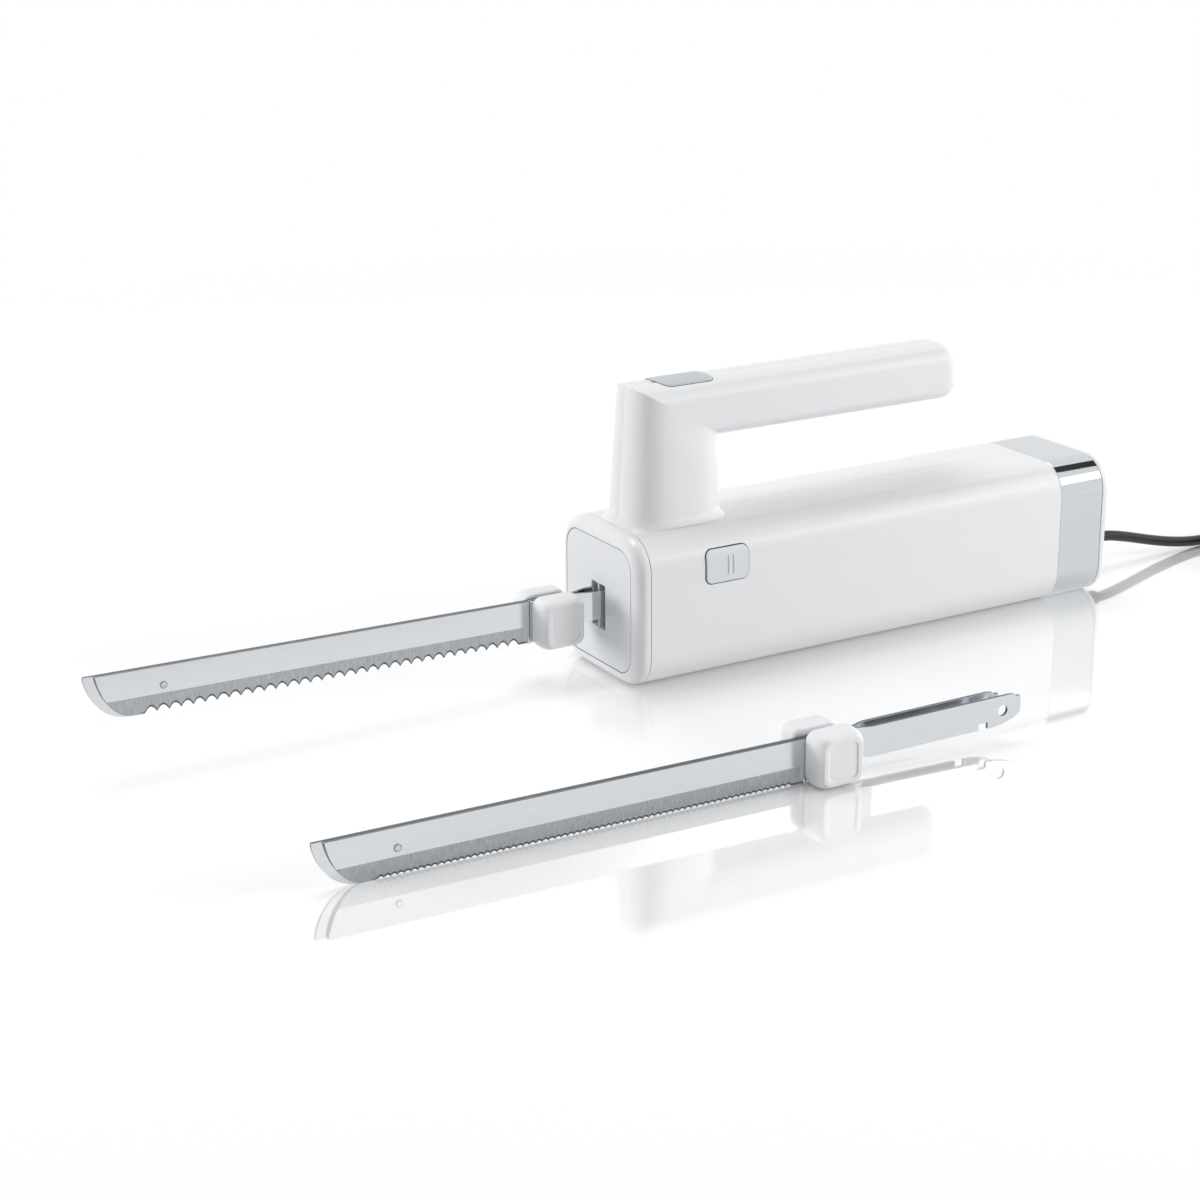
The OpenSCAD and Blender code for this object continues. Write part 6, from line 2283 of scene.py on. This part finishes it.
@dataclass
class KnifeSet:
    """A pair of blades with its guards and rivet, mounted or spare."""

    pair: BladePair
    guard: Guard
    place: Matrix
    prefix: str
    near_body: str
    far_body: str

    def stand(self, piece: Piece, body: str, slot: Slot, node: str) -> None:
        """Moves a piece to the set's place and settles it.

        Args:
            piece: the finished piece.
            body: the CAD body that it rides on.
            slot: where its finish comes from.
            node: the CAD node that it stands for.
        """
        piece.data.transform(Matrix.Translation(mm(FRONT_X, 0, 0)) @ self.place)
        piece.data.update()
        settle(piece, body, slot, node)

    def build(self, paints: Paints) -> None:
        """Builds and dresses the set.

        Args:
            paints: the finishes.
        """
        steel, soft = paints.of(Slot.BLADE_STEEL), paints.of(Slot.GUARD_WHITE)
        rivet_node = "spare_rivet" if self.prefix else "blade_rivet"
        for side, word, body in ((Side.NEAR, "near", self.near_body), (Side.FAR, "far", self.far_body)):
            blade = self.pair.blade(side, steel)
            self.stand(blade, body, Slot.BLADE_STEEL, f"{self.prefix}{word}_blade")
            guard = self.guard.build(side, f"{self.prefix}{word}_soft_guard", soft)
            self.stand(guard, body, Slot.GUARD_WHITE, f"{self.prefix}{word}_guard")
        rivet = self.pair.rivet(paints.of(Slot.RIVET_STEEL))
        rivet.name = f"{self.prefix}rivet_head"
        self.stand(rivet, self.near_body, Slot.RIVET_STEEL, rivet_node)


# Finishes of the CAD nodes

NODE_SLOTS: dict[Slot, tuple[str, ...]] = {
    Slot.WHITE_GLOSS: ("housing_left", "housing_right", "handle_left", "handle_right", "front_cap",
                       "end_plate"),
    Slot.PANEL_WHITE: ("front_panel",),
    Slot.GREY_SATIN: ("power_button", "near_release_button", "far_release_button"),
    Slot.GUARD_WHITE: ("near_guard", "far_guard", "spare_near_guard", "spare_far_guard"),
    Slot.BAND_CHROME: ("chrome_band",),
    Slot.BLADE_STEEL: ("near_blade", "far_blade", "spare_near_blade", "spare_far_blade"),
    Slot.RIVET_STEEL: ("blade_rivet", "spare_rivet"),
    Slot.SHAFT_STEEL: ("armature_shaft", "drive_worm", "gear_axle", "housing_screws", "handle_screws"),
    Slot.SPRING_STEEL: ("near_catch", "far_catch", "near_release_spring", "far_release_spring",
                        "switch_spring", "brush_springs"),
    Slot.CORE_IRON: ("stator", "armature_core"),
    Slot.COPPER_WIRE: ("field_coils", "armature_windings", "commutator"),
    Slot.BRONZE: ("front_bearing", "rear_bearing"),
    Slot.FRAME_PLASTIC: ("chassis", "brush_holders", "cord_clamp", "motor_fan"),
    Slot.SLIDE_PLASTIC: ("carrier_guide", "drive_wheel", "near_carrier", "far_carrier"),
    Slot.ELECTRIC_PLASTIC: ("switch_body", "terminal_block", "capacitor"),
    Slot.CARBON: ("brushes",),
    Slot.LEAD_BLACK: ("inlet_cord", "cord_run", "cord_coil", "strain_relief", "plug_body",
                      "inner_leads"),
    Slot.TIE_BLACK: ("cord_tie",),
    Slot.PIN_METAL: ("plug_pins",),
}


def dress_frame(paints: Paints) -> None:
    """Gives every CAD node the material of its slot.

    Args:
        paints: the finishes.
    """
    for slot, names in NODE_SLOTS.items():
        for name in names:
            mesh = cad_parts[name].data
            mesh.materials.clear()
            mesh.materials.append(paints.of(slot))


def main() -> None:
    """Builds the scene in order."""
    paints = Paints()
    Camera().build()
    Studio().build()
    MainsLead().build(paints)
    dress_frame(paints)
    LeadFittings().strain_relief(paints)
    shell = BodyShell()
    shell.build(paints)
    handle = Handle()
    handle.build(paints)
    Controls(shell, handle).build(paints)
    spare = SparePlace()
    guard = Guard(front=34.8, rear=13.3, low=19.2, height=22.6, far_shift=2.0)
    KnifeSet(BladePair(), guard, Matrix.Identity(4), "", "near_knife", "far_knife").build(paints)
    spare_pair = BladePair(Edge.FINE, spare.extra)
    KnifeSet(spare_pair, Guard(), spare.matrix(spare_pair), "spare_", "spare_near", "body").build(paints)


if __name__ == "__main__":
    logging.basicConfig(level=logging.INFO)
    main()
